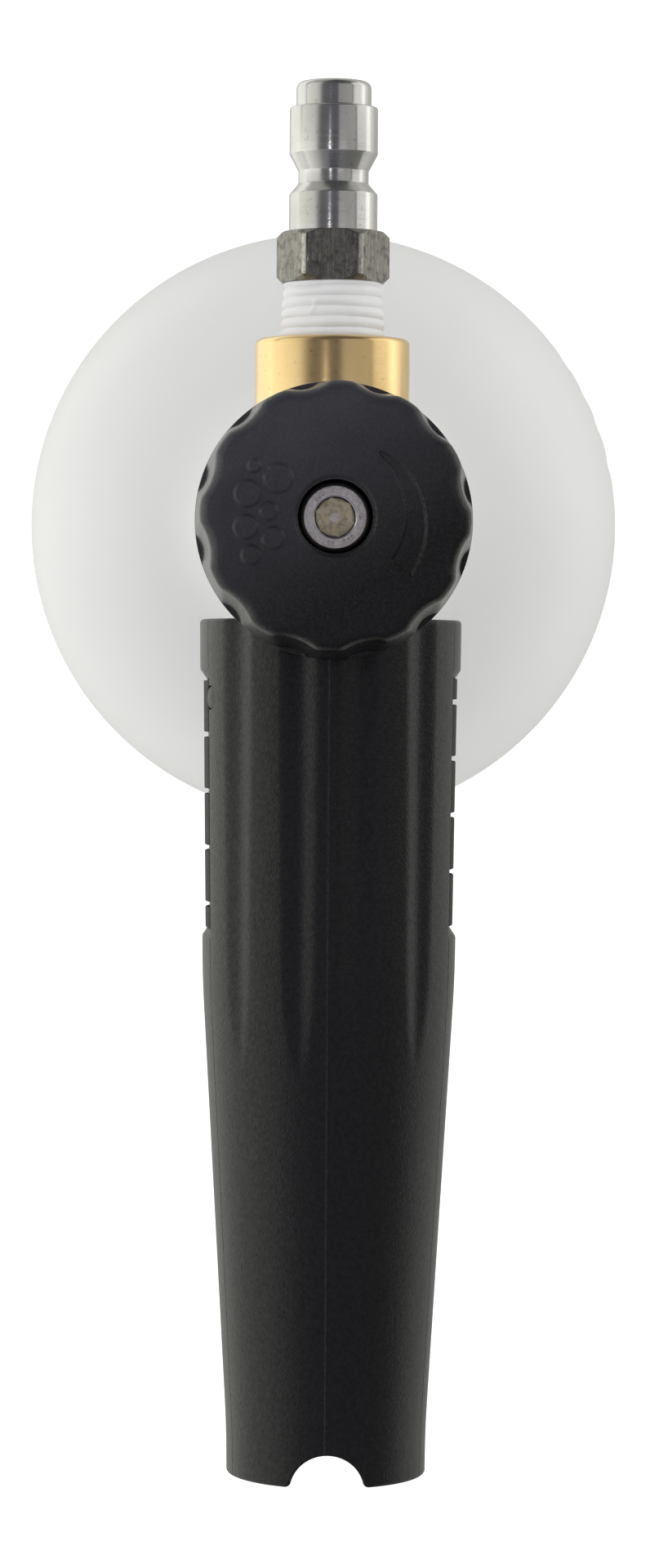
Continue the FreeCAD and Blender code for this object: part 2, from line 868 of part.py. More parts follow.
def end_rims(form, stations):
    """Edges of a form that lie wholly in the planes of the given stations."""
    def lies_at(edge, x):
        box = edge.BoundBox
        return abs(box.XMin - x) < 0.01 and abs(box.XMax - x) < 0.01

    return [edge for edge in form.Edges if any(lies_at(edge, x) for x in stations)]


def flutes():
    """Long shallow grooves in the top and bottom that run out where the housing narrows."""
    half_width, half_height = shroud_half((shroud_rear_x + grip_end_x) / 2)
    length = taper_end_x - shroud_rear_x
    tools = []
    for turn in flute_turns:
        for side in (-1, 1):
            angle = math.radians(side * turn - flute_lean)
            normal = vec(0, math.sin(angle) / half_width, math.cos(angle) / half_height).normalize()
            skin = vec(0, half_width * math.sin(angle), half_height * math.cos(angle))
            centre = skin + normal * (flute_radius - flute_depth)
            for end in (-1, 1):
                start = vec(shroud_rear_x - 1, end * centre.y, axis_z + end * centre.z)
                tools.append(Part.makeCylinder(flute_radius, length, start, vec(1, 0, 0)))
    return tools


def side_recess(side):
    """Recess with sloping ends in one side, which follows the oval."""
    skin = shroud_rear_half[0]
    start, end = panel_x, panel_x + panel_length
    outline = [
        (start - panel_ramp, side * (skin + panel_depth)),
        (end + panel_ramp, side * (skin + panel_depth)),
        (end - 2 * panel_ramp, side * (skin - 2 * panel_depth)),
        (start + 2 * panel_ramp, side * (skin - 2 * panel_depth)),
    ]
    recess = plan_prism(outline, -panel_half_height, panel_half_height)
    return recess.cut(oval_form(panel_depth, shroud_rear_x, taper_end_x))


def grip_block_spans():
    """Stations of the raised blocks, from one end of the side recess."""
    starts = [panel_ramp + grip_block_pitch * count for count in range(grip_blocks + 1)]
    lengths = [grip_block_length] * grip_blocks + [grip_short_block]
    return [(start, start + length) for start, length in zip(starts, lengths)]


def grip_rows():
    """Raised blocks of both recesses. The two rows run opposite ways."""
    skin = oval_form(panel_depth - grip_block_height, shroud_rear_x, taper_end_x)
    height = (-grip_block_half_height, grip_block_half_height)
    rows = []
    for low, high in grip_block_spans():
        rows.append(block((panel_x + low, panel_x + high), (-shroud_rear_half[0], 0), height))
        far_end = panel_x + panel_length
        rows.append(block((far_end - high, far_end - low), (0, shroud_rear_half[0]), height))
    return [row.common(skin) for row in rows]


def mouth_notch():
    """Round notch with rounded corners through the top and bottom of the front rim."""
    centre_x = shroud_front_x + notch_beyond
    corner_x = shroud_front_x - notch_corner
    span = notch_radius + notch_corner
    offset = notch_beyond + notch_corner
    corner_y = math.sqrt(span ** 2 - offset ** 2)
    touch_x = centre_x - offset * notch_radius / span
    touch_y = corner_y * notch_radius / span
    lean = vec(1 + offset / span, -corner_y / span, 0).normalize() * notch_corner
    middle = (corner_x + lean.x, corner_y + lean.y)
    outside_x = shroud_front_x + notch_radius
    steps = [
        (outside_x, -corner_y),
        (shroud_front_x, -corner_y),
        ((middle[0], -middle[1]), (touch_x, -touch_y)),
        ((centre_x - notch_radius, 0), (touch_x, touch_y)),
        (middle, (shroud_front_x, corner_y)),
        (outside_x, corner_y),
    ]
    reach = 2 * shroud_rear_half[1]
    return plan_prism(steps, -reach, reach)


def bulkhead(start):
    """Wall across the housing with the bore that runs on the barrel."""
    across = 2 * shroud_rear_half[1]
    return tube_x(across, nozzle_bore, start, start + bulkhead_thickness)


def key_height():
    """Height of the keys' inner faces, which reach into the carrier's slots."""
    return carrier_radius() - key_engagement


def key_rail(side):
    low, high = sorted((side * key_height(), side * 2 * shroud_rear_half[1]))
    start = front_bulkhead_x + bulkhead_thickness / 2
    end = carrier_front_x + carrier_travel + key_half_width
    return block((start, end), (-key_half_width, key_half_width), (low, high))


def cam_angle():
    """Slope of the cam along which a heel slides while its lip closes."""
    turn = math.radians(lip_turn)
    offset = heel_y - lip_pivot_y
    forward = carrier_travel - heel_reach * (1 - math.cos(turn)) + offset * math.sin(turn)
    inward = heel_reach * math.sin(turn) + offset * (1 - math.cos(turn))
    return math.atan2(inward, forward)


def cam(side):
    """Wedge on a side wall that presses a heel inwards as the carrier moves forward."""
    angle = cam_angle()
    half = cam_length / 2
    wall = shroud_rear_half[0]

    def face_y(x):
        face = heel_y + (heel_radius + side_gap) / math.cos(angle) - (x - heel_x) * math.tan(angle)
        return side * face

    outline = [
        (heel_x - half, face_y(heel_x - half)),
        (heel_x + half, face_y(heel_x + half)),
        (heel_x + half, side * wall),
        (heel_x - half, side * wall),
    ]
    height = heel_half_height + clear_gap
    return plan_prism(outline, -height, height)


def pin_direction():
    angle = math.radians(pin_turn)
    return vec(0, -math.sin(angle), math.cos(angle))


def pin_bar(radius, start, end):
    """Bar that points outwards from the spray axis at the pin's station."""
    foot = vec(pin_x, 0, axis_z) + pin_direction() * start
    return Part.makeCylinder(radius, end - start, foot, pin_direction())


def shroud():
    housing = oval_form(0, shroud_rear_x, shroud_front_x)
    housing = housing.makeFillet(shroud_edge_round, end_rims(housing, (shroud_rear_x, shroud_front_x)))
    for tool in flutes() + [side_recess(-1), side_recess(1)]:
        housing = housing.cut(tool)
    for row in grip_rows():
        housing = housing.fuse(row)
    hollow = oval_form(shroud_wall, shroud_rear_x - 1, shroud_front_x + 1)
    walls = [bulkhead(bulkhead_x), bulkhead(front_bulkhead_x), key_rail(-1), key_rail(1), cam(-1), cam(1)]
    for wall in walls:
        hollow = hollow.cut(wall)
    housing = housing.cut(hollow).cut(mouth_notch())
    return housing.cut(pin_bar(pin_radius + thread_fit, 0, 2 * shroud_rear_half[0]))


def shroud_pin():
    """Grub screw whose nose stands in the barrel's groove."""
    half_width, half_height = shroud_half(pin_x)
    out = pin_direction()
    skin = 1 / math.hypot(out.y / half_width, out.z / half_height)
    nose = barrel_radius - pin_groove_depth + side_gap
    return pin_bar(pin_radius, nose, skin - pin_sink)


def carrier_radius():
    """Sleeve radius that clears the housing at the end of its travel."""
    half_width, half_height = shroud_half(carrier_front_x + carrier_travel)
    return min(half_width, half_height) - shroud_wall - clear_gap


def lip_plate_height():
    return lip_half_height + side_gap


def lip_carrier():
    radius = carrier_radius()
    rear = carrier_rear_x
    sleeve = bar(radius, rear, carrier_front_x)
    plate_end = lip_pivot_x + lip_knuckle_radius + clear_gap
    half_width = lip_pivot_y + lip_knuckle_radius
    low, high = lip_plate_height(), lip_plate_height() + lip_plate
    span = (carrier_front_x - carrier_length / 2, plate_end)
    for bottom, top in ((low, high), (-high, -low)):
        sleeve = sleeve.fuse(block(span, (-half_width, half_width), (bottom, top)))
    sleeve = sleeve.cut(bar(nozzle_bore, rear - 1, tip_front_x + clear_gap))
    slot = key_half_width + side_gap
    slot_floor = key_height() - side_gap
    for bottom, top in ((slot_floor, radius + 1), (-radius - 1, -slot_floor)):
        sleeve = sleeve.cut(block((rear - 1, carrier_front_x + 1), (-slot, slot), (bottom, top)))
    for side in (-1, 1):
        sleeve = sleeve.cut(lip_pivot(lip_pin_radius + thread_fit, side))
    return sleeve


def lip_pivot(radius, side):
    top = lip_plate_height() + lip_plate
    return post(radius, -top, top, lip_pivot_x, side * lip_pivot_y)


def lip_pins():
    return Part.makeCompound([lip_pivot(lip_pin_radius, side) for side in (-1, 1)])


def lip_left():
    """Blade that leans in towards the mouth, with its knuckle and the heel that the cam presses."""
    low, high = -lip_half_height, lip_half_height
    root_x = lip_pivot_x + lip_knuckle_radius / 2
    root_y = lip_knuckle_radius * math.cos(math.pi / 6) - thread_fit
    tip_x = lip_pivot_x + lip_length
    blade = plan_prism(
        [
            (root_x, lip_pivot_y - root_y),
            (tip_x, lip_tip_inner),
            (tip_x, lip_tip_inner + lip_tip_thickness),
            (root_x, lip_pivot_y + root_y),
        ],
        low,
        high,
    )
    blade = blade.fuse(post(lip_knuckle_radius, low, high, lip_pivot_x, lip_pivot_y))
    blade = blade.fuse(post(heel_radius, -heel_half_height, heel_half_height, heel_x, heel_y))
    return blade.cut(lip_pivot(lip_pin_radius + running_fit, 1))


def lip_right():
    return lip_left().mirror(vec(0, 0, 0), vec(0, 1, 0))


parts = {
    "bottle": bottle,
    "cap_gasket": cap_gasket,
    "bottle_cap": bottle_cap,
    "cap_nut": cap_nut,
    "suction_barb": suction_barb,
    "dip_tube": dip_tube,
    "tube_strainer": tube_strainer,
    "brass_body": brass_body,
    "inlet_plug": inlet_plug,
    "thread_tape": thread_tape,
    "jet_nozzle": jet_nozzle,
    "mixing_tube": mixing_tube,
    "barrel_seal": barrel_seal,
    "barrel": barrel,
    "foam_mesh": foam_mesh,
    "mesh_ring": mesh_ring,
    "nozzle_tip": nozzle_tip,
    "gland_nut": gland_nut,
    "spindle_oring": spindle_oring,
    "spindle": spindle,
    "dosing_needle": dosing_needle,
    "knob": knob,
    "knob_screw": knob_screw,
    "shroud": shroud,
    "shroud_pin": shroud_pin,
    "lip_carrier": lip_carrier,
    "lip_pins": lip_pins,
    "lip_left": lip_left,
    "lip_right": lip_right,
}

os.makedirs("parts", exist_ok=True)
for name, make in parts.items():
    shape = make()
    shape.exportStep(f"parts/{name}.step")
    print(name, "solids", len(shape.Solids), "volume", round(shape.Volume, 1), "valid", shape.isValid())
print("spray axis height", round(axis_z, 3), "shroud front", round(shroud_front_x, 3))
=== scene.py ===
from math import acos, asin, atan2, cos, hypot, pi, radians, sin, sqrt, tan, tau

import bmesh
import bpy
import numpy as np
from mathutils import Matrix, Vector


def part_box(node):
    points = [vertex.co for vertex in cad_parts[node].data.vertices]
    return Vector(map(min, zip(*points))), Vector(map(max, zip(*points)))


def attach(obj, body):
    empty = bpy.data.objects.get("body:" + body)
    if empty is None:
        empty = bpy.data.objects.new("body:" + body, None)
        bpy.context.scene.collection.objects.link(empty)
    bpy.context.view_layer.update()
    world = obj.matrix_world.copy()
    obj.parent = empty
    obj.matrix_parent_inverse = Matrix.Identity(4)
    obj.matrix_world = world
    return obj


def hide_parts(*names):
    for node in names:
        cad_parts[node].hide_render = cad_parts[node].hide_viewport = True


# Looks of a snow foam cannon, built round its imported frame.
# Lengths are in millimetres until a mesh is made. Stations run along X, the spray axis.
# Heights are measured from that axis. mesh_object turns both into the frame's metres.

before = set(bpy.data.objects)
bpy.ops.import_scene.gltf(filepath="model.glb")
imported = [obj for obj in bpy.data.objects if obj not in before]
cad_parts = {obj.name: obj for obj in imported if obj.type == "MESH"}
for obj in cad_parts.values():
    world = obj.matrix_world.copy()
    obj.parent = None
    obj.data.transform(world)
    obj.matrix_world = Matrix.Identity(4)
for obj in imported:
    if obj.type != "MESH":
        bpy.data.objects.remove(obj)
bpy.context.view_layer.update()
mm = 0.001


def node_box(name):
    """Low and high corner of a solid, in the frame's millimetres."""
    low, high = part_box(name)
    return low / mm, high / mm


# Places taken from the frame
plug_low, plug_high = node_box("inlet_plug")
tape_low, tape_high = node_box("thread_tape")
brass_low, brass_high = node_box("brass_body")
bottle_high = node_box("bottle")[1]
cap_low, cap_high = node_box("bottle_cap")
knob_low, knob_high = node_box("knob")
screw_low, screw_high = node_box("knob_screw")
shroud_low, shroud_high = node_box("shroud")
gland_high = node_box("gland_nut")[1]
axis_z = (plug_low.z + plug_high.z) / 2
valve_x = (knob_low.x + knob_high.x) / 2
body_front = brass_high.x
gland_top = gland_high.z - axis_z


# Meshes

def shade(mesh, sharp):
    """Smooth shading, crisp at edges above the sharp angle."""
    mesh.shade_smooth()
    mesh.set_sharp_from_angle(angle=radians(sharp))


def new_object(name, data):
    """A new object in the scene."""
    thing = bpy.data.objects.new(name, data)
    bpy.context.scene.collection.objects.link(thing)
    return thing


def mesh_object(name, points, faces, sharp=35.0, bevel=0.0):
    """Object of points and faces, with bevelled edges if a bevel is given."""
    places = (np.array(points, float).reshape(-1, 3) + (0, 0, axis_z)) * mm
    mesh = bpy.data.meshes.new(name)
    mesh.from_pydata(places.tolist(), [], faces)
    work = bmesh.new()
    work.from_mesh(mesh)
    bmesh.ops.remove_doubles(work, verts=work.verts, dist=1e-7)
    bmesh.ops.recalc_face_normals(work, faces=work.faces)
    if bevel > 0:
        bmesh.ops.bevel(
            work, geom=work.edges[:], offset=bevel * mm, segments=3, affect="EDGES", profile=0.5)
    work.to_mesh(mesh)
    work.free()
    shade(mesh, sharp)
    return new_object(name, mesh)


def grid_faces(rows, columns, close_rows, close_columns):
    """Four-sided faces between the neighbours in a grid of points."""
    index = np.arange(rows * columns).reshape(rows, columns)
    index = np.pad(index, ((0, int(close_rows)), (0, int(close_columns))), mode="wrap")
    corners = [index[:-1, :-1], index[:-1, 1:], index[1:, 1:], index[1:, :-1]]
    return np.stack(corners, axis=-1).reshape(-1, 4).tolist()


def grid_object(name, rings, close_rows=False, sharp=35.0):
    """Object from rings of points, each joined to the next."""
    return mesh_object(name, rings, grid_faces(len(rings), len(rings[0]), close_rows, True), sharp)


def rounded(corners, closed=False, steps=5):
    """Profile points from corners of (along, across) or (along, across, round)."""
    length = np.linalg.norm
    places = np.array([corner[:2] for corner in corners], float)
    last_index = len(corners) - 1
    points = []
    for index, (here, corner) in enumerate(zip(places, corners)):
        radius = corner[2] if len(corner) > 2 else 0
        at_end = not closed and index in (0, last_index)
        if radius == 0 or at_end:
            points.append(tuple(here))
            continue
        back, ahead = places[index - 1] - here, places[index - last_index] - here
        reach = 0.49 * min(length(back), length(ahead))
        back, ahead = back / length(back), ahead / length(ahead)
        half = acos(max(-1.0, min(1.0, float(back @ ahead)))) / 2
        run = min(reach, radius / tan(half))
        bisector = (back + ahead) / length(back + ahead)
        centre = here + bisector * run * tan(half) / sin(half)
        first, last = here + back * run - centre, here + ahead * run - centre
        turn = pi - 2 * half
        for share in np.linspace(0, 1, steps + 1):
            mix = sin((1 - share) * turn) * first + sin(share * turn) * last
            points.append(tuple(centre + mix / sin(turn)))
    return points


def around(count):
    """Evenly spaced turns in radians."""
    return np.arange(count) * tau / count


def rings_x(profile, turns):
    """Rings about the spray axis, from a profile of (station, radius). Turns run from +Z towards +Y."""
    ones = np.ones(turns.shape)
    return [np.stack([s * ones, r * np.sin(turns), r * np.cos(turns)], axis=-1) for s, r in profile]


def rings_z(profile, turns, x=0.0):
    """Rings about an upright axis, from a profile of (radius, height). Turns run from +Y towards -X."""
    ones = np.ones(turns.shape)
    return [np.stack([x - r * np.sin(turns), r * np.cos(turns), h * ones], axis=-1) for r, h in profile]


def smooth_step(low, high, value):
    """Eased change from 0 at low to 1 at high."""
    share = np.clip((value - low) / (high - low), 0, 1)
    return share * share * (3 - 2 * share)


def soft_low(a, b, blend):
    """The lower of two values, with a rounded change from one to the other."""
    return (a + b - np.sqrt((a - b) ** 2 + blend ** 2)) / 2


def hex_radius(turns, width, tilt=0.0):
    """Radius of a hexagon from its width across the flats, by turn."""
    side = pi / 3
    return width / 2 / np.cos(np.mod(turns - tilt + side / 2, side) - side / 2)


def join(pieces, name):
    """One object from several, under a new name."""
    with bpy.context.temp_override(active_object=pieces[0], selected_editable_objects=pieces):
        bpy.ops.object.join()
    pieces[0].name = name
    pieces[0].data.name = name
    return pieces[0]


def combine(thing, tool, how):
    """Boolean of thing with tool, which is removed."""
    change = thing.modifiers.new("combine", "BOOLEAN")
    change.operation = how
    change.solver = "EXACT"
    change.object = tool
    graph = bpy.context.evaluated_depsgraph_get()
    mesh = bpy.data.meshes.new_from_object(thing.evaluated_get(graph))
    thing.modifiers.remove(change)
    thing.data = mesh
    bpy.data.objects.remove(tool)
    shade(mesh, 35)


def face_places(thing):
    """Each face with its centre, in millimetres from the spray axis."""
    for face in thing.data.polygons:
        x, y, z = (part / mm for part in face.center)
        yield face, x, y, z - axis_z


# Materials

class Nodes:
    """The nodes of a material or a world."""

    def __init__(self, tree):
        self.tree = tree
        self.shader = tree.nodes.get("Principled BSDF")

    def feed(self, node, inputs):
        """Links or sets a node's inputs."""
        for key, value in inputs.items():
            if isinstance(value, bpy.types.NodeSocket):
                self.tree.links.new(value, node.inputs[key])
            else:
                node.inputs[key].default_value = value

    def add(self, kind, inputs=None, **settings):
        """A new node."""
        node = self.tree.nodes.new("ShaderNode" + kind)
        for key, value in settings.items():
            setattr(node, key, value)
        self.feed(node, inputs or {})
        return node

    def mapped(self, scale, centre_x=0.0):
        """Object coordinates from a centre, scaled along all axes or each."""
        source = self.add("TexCoord").outputs["Object"]
        scale = scale if isinstance(scale, tuple) else (scale,) * 3
        inputs = {"Vector": source, "Location": (-centre_x * mm, 0, 0), "Scale": scale}
        return self.add("Mapping", inputs).outputs["Vector"]

    def noise(self, scale, detail=3.0, roughness=0.55):
        """Noise whose features are 1 / scale metres."""
        inputs = {"Vector": self.mapped(scale), "Scale": 1.0, "Detail": detail, "Roughness": roughness}
        return self.add("TexNoise", inputs).outputs["Fac"]

    def stretch(self, value, from_range, to_range=(0, 1)):
        """Value taken from one range to another, and held at its ends."""
        keys = ("From Min", "From Max", "To Min", "To Max")
        inputs = {"Value": value, **dict(zip(keys, (*from_range, *to_range)))}
        return self.add("MapRange", inputs).outputs["Result"]

    def math(self, operation, *values):
        """Sum, product or other operation."""
        return self.add("Math", dict(enumerate(values)), operation=operation).outputs[0]

    def mix(self, share, first, second):
        """Colour between two."""
        first, second = ((*c, 1.0) if isinstance(c, tuple) else c for c in (first, second))
        return self.add("Mix", {0: share, 6: first, 7: second}, data_type="RGBA").outputs[2]

    def mix_shaders(self, share, first, second):
        """Shader between two nodes'."""
        inputs = {0: share, 1: first.outputs[0], 2: second.outputs[0]}
        return self.add("MixShader", inputs)

    def surface(self, inputs, *layers):
        """Inputs of the shader, and bumps from layers of (height, distance in mm)."""
        bump = {"Strength": 1.0}
        for height, distance in layers:
            bump.update({"Height": height, "Distance": distance * mm})
            bump["Normal"] = self.add("Bump", bump).outputs["Normal"]
        self.feed(self.shader, {**inputs, "Normal": bump["Normal"]})


finish = {}


def blank(name):
    """The nodes of a new material."""
    material = bpy.data.materials.new(name)
    material.use_nodes = True
    finish[name] = material
    return Nodes(material.node_tree)


def faded(color, share):
    """Colour times a share, up to 1 in each part."""
    return tuple(min(1.0, share * part) for part in color)


def metal(name, color, stain, roughness, grain, line_depth=0.001):
    """Machined metal: a fine grain, faint tool lines and stains."""
    nodes = blank(name)
    slow = nodes.noise(110, 4.0)
    fine = nodes.noise(grain, 1.0, 0.5)
    lines = nodes.noise(tuple(scale / 4 for scale in grain), 2.0, 0.7)
    specks = nodes.noise(1500, 2.0)
    clean = nodes.mix(nodes.stretch(slow, (0.35, 0.7)), color, stain)
    spotted = nodes.mix(nodes.stretch(specks, (0.64, 0.74), (0, 0.5)), clean, faded(stain, 0.6))
    rough = nodes.stretch(lines, (0.3, 0.7), roughness)
    inputs = {"Metallic": 1.0, "Base Color": spotted, "Roughness": rough}
    nodes.surface(inputs, (fine, 0.006), (lines, line_depth))


def forged(name, color, stain, scale, grain, roughness, depth, metallic=1.0):
    """Rough drawn metal: streaks along its grain and dark mottling."""
    nodes = blank(name)
    streaks = nodes.noise(grain, 3.0, 0.7)
    patches = nodes.noise(scale, 5.0, 0.65)
    flecks = nodes.noise(tuple(part * 1.7 for part in grain), 2.0, 0.7)
    streaky = nodes.mix(nodes.stretch(streaks, (0.38, 0.62)), stain, color)
    mottled = nodes.mix(nodes.stretch(patches, (0.48, 0.68), (0, 0.85)), streaky, faded(stain, 0.5))
    flecked = nodes.mix(nodes.stretch(flecks, (0.60, 0.70), (0, 0.6)), mottled, faded(color, 1.7))
    rough = nodes.stretch(patches, (0.35, 0.65), roughness)
    inputs = {"Metallic": metallic, "Base Color": flecked, "Roughness": rough}
    nodes.surface(inputs, (streaks, depth), (patches, 1.5 * depth))


def faced_metal(name, color, stain, roughness, depth):
    """Steel faced on a lathe: faint rings round the valve's axis, small dents and stains."""
    nodes = blank(name)
    off_axis = nodes.mapped((1, 1, 0), valve_x)
    away = nodes.add("VectorMath", {0: off_axis}, operation="LENGTH").outputs["Value"]
    rings = nodes.add("TexNoise", {"W": away, "Scale": 9000, "Detail": 3.0}, noise_dimensions="1D")
    patches = nodes.noise(1300, 4.0, 0.6)
    dents = nodes.noise(2600, 2.0)
    tone = nodes.mix(nodes.stretch(patches, (0.38, 0.66)), color, stain)
    rough = nodes.stretch(dents, (0.35, 0.7), roughness)
    nodes.surface(
        {"Metallic": 0.88, "Base Color": tone, "Roughness": rough},
        (rings.outputs["Fac"], depth), (patches, 20 * depth), (dents, 14 * depth))


def paint_side_light(nodes, tone, pale, direction, reach):
    """Painted light: a paler tone that grows along a direction, over a reach in millimetres, so that one
    side looks more lit.
    """
    source = nodes.add("TexCoord").outputs["Object"]
    along = nodes.add("VectorMath", {0: source, 1: direction}, operation="DOT_PRODUCT")
    painted_light_ramp = nodes.stretch(along.outputs["Value"], tuple(part * mm for part in reach))
    cloud = nodes.stretch(nodes.noise(170, 4.0), (0.2, 0.8), (0.72, 1.2))
    return nodes.mix(nodes.math("MULTIPLY", painted_light_ramp, cloud), tone, pale)


def dusty(nodes, tone, amount):
    """Pale specks here and there."""
    inputs = {"Vector": nodes.mapped((260, 420, 420)), "Scale": 1.0, "Randomness": 1.0}
    specks = nodes.add("TexVoronoi", inputs).outputs["Distance"]
    spot = nodes.stretch(specks, (0.045, 0.02))
    rare = nodes.stretch(nodes.noise(700, 1.0), (0.60, 0.66), (0, amount))
    return nodes.mix(nodes.math("MULTIPLY", spot, rare), tone, (0.25, 0.25, 0.24))


def plastic(name, color, second, roughness, grain, grain_depth, shine=0.5, dust=None, painted_light=None):
    """Moulded plastic with a fine grain."""
    nodes = blank(name)
    fine = nodes.noise(grain, 2.0, 0.6)
    sand = nodes.noise(0.45 * grain, 2.0, 0.6)
    tone = nodes.mix(nodes.noise(60, 4.0), color, second)
    # painted light: one side of the part made paler, as if lit more
    if painted_light:
        tone = paint_side_light(nodes, tone, *painted_light)
    if dust:
        tone = dusty(nodes, tone, dust)
    glint = nodes.stretch(sand, (0.3, 0.7), (0.78 * shine, 1.22 * shine))
    rough = nodes.stretch(fine, (0.3, 0.7), roughness)
    inputs = {"Base Color": tone, "Specular IOR Level": glint, "Roughness": rough}
    nodes.surface(inputs, (fine, grain_depth))


def translucent(name, color, roughness, scatter, pass_through):
    """Milky blow-moulded plastic, a little uneven."""
    nodes = blank(name)
    slow = nodes.noise((35, 35, 20))
    fine = nodes.noise(900, 2.0)
    nodes.surface({
        "Base Color": nodes.mix(slow, color, faded(color, 0.97)),
        "Roughness": nodes.stretch(slow, (0.3, 0.7), roughness),
        "Subsurface Weight": scatter,
        "Subsurface Radius": (1.0, 1.0, 0.95),
        "Subsurface Scale": 4 * mm,
        "Transmission Weight": pass_through,
        "IOR": 1.52,
    }, (slow, 0.25), (fine, 0.01))


def tape_material(name):
    """White tape with the fine stretch lines that run round it."""
    nodes = blank(name)
    lines = nodes.noise((2600, 350, 350), 3.0, 0.6)
    cloud = nodes.noise(300)
    nodes.surface({
        "Base Color": nodes.mix(cloud, (0.80, 0.80, 0.80), (0.70, 0.70, 0.71)),
        "Roughness": 0.5,
        "Subsurface Weight": 0.3,
        "Subsurface Radius": (1.0, 1.0, 1.0),
        "Subsurface Scale": 0.5 * mm,
    }, (cloud, 0.10), (lines, 0.06))


def wire_material(name):
    """Knitted wire seen as a tangle of fine crossing strands, with painted shade in the gaps between them.
    """
    nodes = blank(name)
    strands_and_gap_shade = nodes.stretch(nodes.noise(2200, 1.0, 0.9), (0.42, 0.58))
    # the near-black tone is painted shade in the gaps of the knit
    tone = nodes.mix(strands_and_gap_shade, (0.08, 0.08, 0.08), (0.62, 0.61, 0.58))
    nodes.surface({"Metallic": 1.0, "Base Color": tone, "Roughness": 0.35}, (strands_and_gap_shade, 0.3))


# Grains by axis, in features to the metre
turned_x, turned_z = (14000, 60, 60), (60, 60, 14000)
along_x, even = (300, 5200, 5200), (3000, 3000, 3000)
steel, steel_stain, steel_rough = (0.65, 0.645, 0.65), (0.56, 0.55, 0.55), (0.12, 0.2)
brass, brass_stain = (0.92, 0.69, 0.375), (0.89, 0.62, 0.29)
metal("turned_steel", steel, steel_stain, steel_rough, turned_x)
metal("upright_steel", steel, steel_stain, steel_rough, turned_z)
metal("turned_brass", brass, brass_stain, (0.21, 0.25), turned_x, 0.0005)
metal("upright_brass", brass, brass_stain, (0.22, 0.27), turned_z, 0.0005)
forged("brushed_hex", (0.295, 0.285, 0.26), (0.16, 0.15, 0.138), 900, along_x, (0.22, 0.4), 0.008)
forged("worn_edge", (0.66, 0.64, 0.6), (0.42, 0.4, 0.37), 1500, along_x, (0.3, 0.4), 0.004)
# Painted light: the warm cone in the screw's socket is made near white and partly non-metal, against the
# socket's shade.
forged("warm_steel_painted_light", (1.0, 0.95, 0.8), (1.0, 0.87, 0.66), 1400, even, (0.45, 0.6), 0.05, 0.85)
# Painted light: the screw head's steel is made near white, lighter than the plug's, and partly non-metal,
# so it reads brightly lit.
faced_metal("faced_steel_painted_light", (1.0, 0.94, 0.97), (0.85, 0.78, 0.8), (0.42, 0.62), 0.004)
plastic(
    "shroud_plastic", (0.003, 0.0029, 0.0048), (0.0042, 0.0041, 0.0062), (0.27, 0.34), 3600, 0.07,
    shine=0.37, dust=0.6)
# The knob is painted paler towards the plug and the left side, as painted light.
plastic(
    "knob_plastic", (0.0015, 0.0013, 0.0022), (0.0025, 0.0022, 0.0034), (0.24, 0.31), 4200, 0.05,
    shine=0.42, painted_light=((0.031, 0.0292, 0.038), (-0.82, -0.57, 0), (-12, 10)))
plastic("pad_rubber", (0.004, 0.0035, 0.003), (0.007, 0.006, 0.0055), (0.6, 0.7), 2500, 0.03)
plastic("cap_plastic", (0.012, 0.012, 0.012), (0.018, 0.018, 0.018), (0.35, 0.45), 3000, 0.03)
plastic("black_acetal", (0.012, 0.012, 0.012), (0.02, 0.02, 0.02), (0.25, 0.35), 1500, 0.01)
plastic("grey_plastic", (0.22, 0.22, 0.23), (0.27, 0.27, 0.28), (0.35, 0.5), 2500, 0.02)
plastic("seal_rubber", (0.02, 0.02, 0.02), (0.03, 0.03, 0.03), (0.6, 0.75), 1800, 0.02)
translucent("bottle_plastic", (0.85, 0.853, 0.84), (0.3, 0.42), 0.5, 0.08)
translucent("clear_hose", (0.72, 0.74, 0.72), (0.12, 0.22), 0.1, 0.55)
tape_material("white_tape")
wire_material("wire_mesh")


def wear(thing, *names):
    """Gives a piece its finishes."""
    thing.data.materials.clear()
    for name in names:
        thing.data.materials.append(finish[name])


def dress(thing, body, slot, node, *names):
    """A piece's body and node, and its finishes if it has none yet. The slot is not used."""
    if names:
        wear(thing, *names)
    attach(thing, body)
    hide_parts(node)


# Quick-connect plug, its tape and the brass

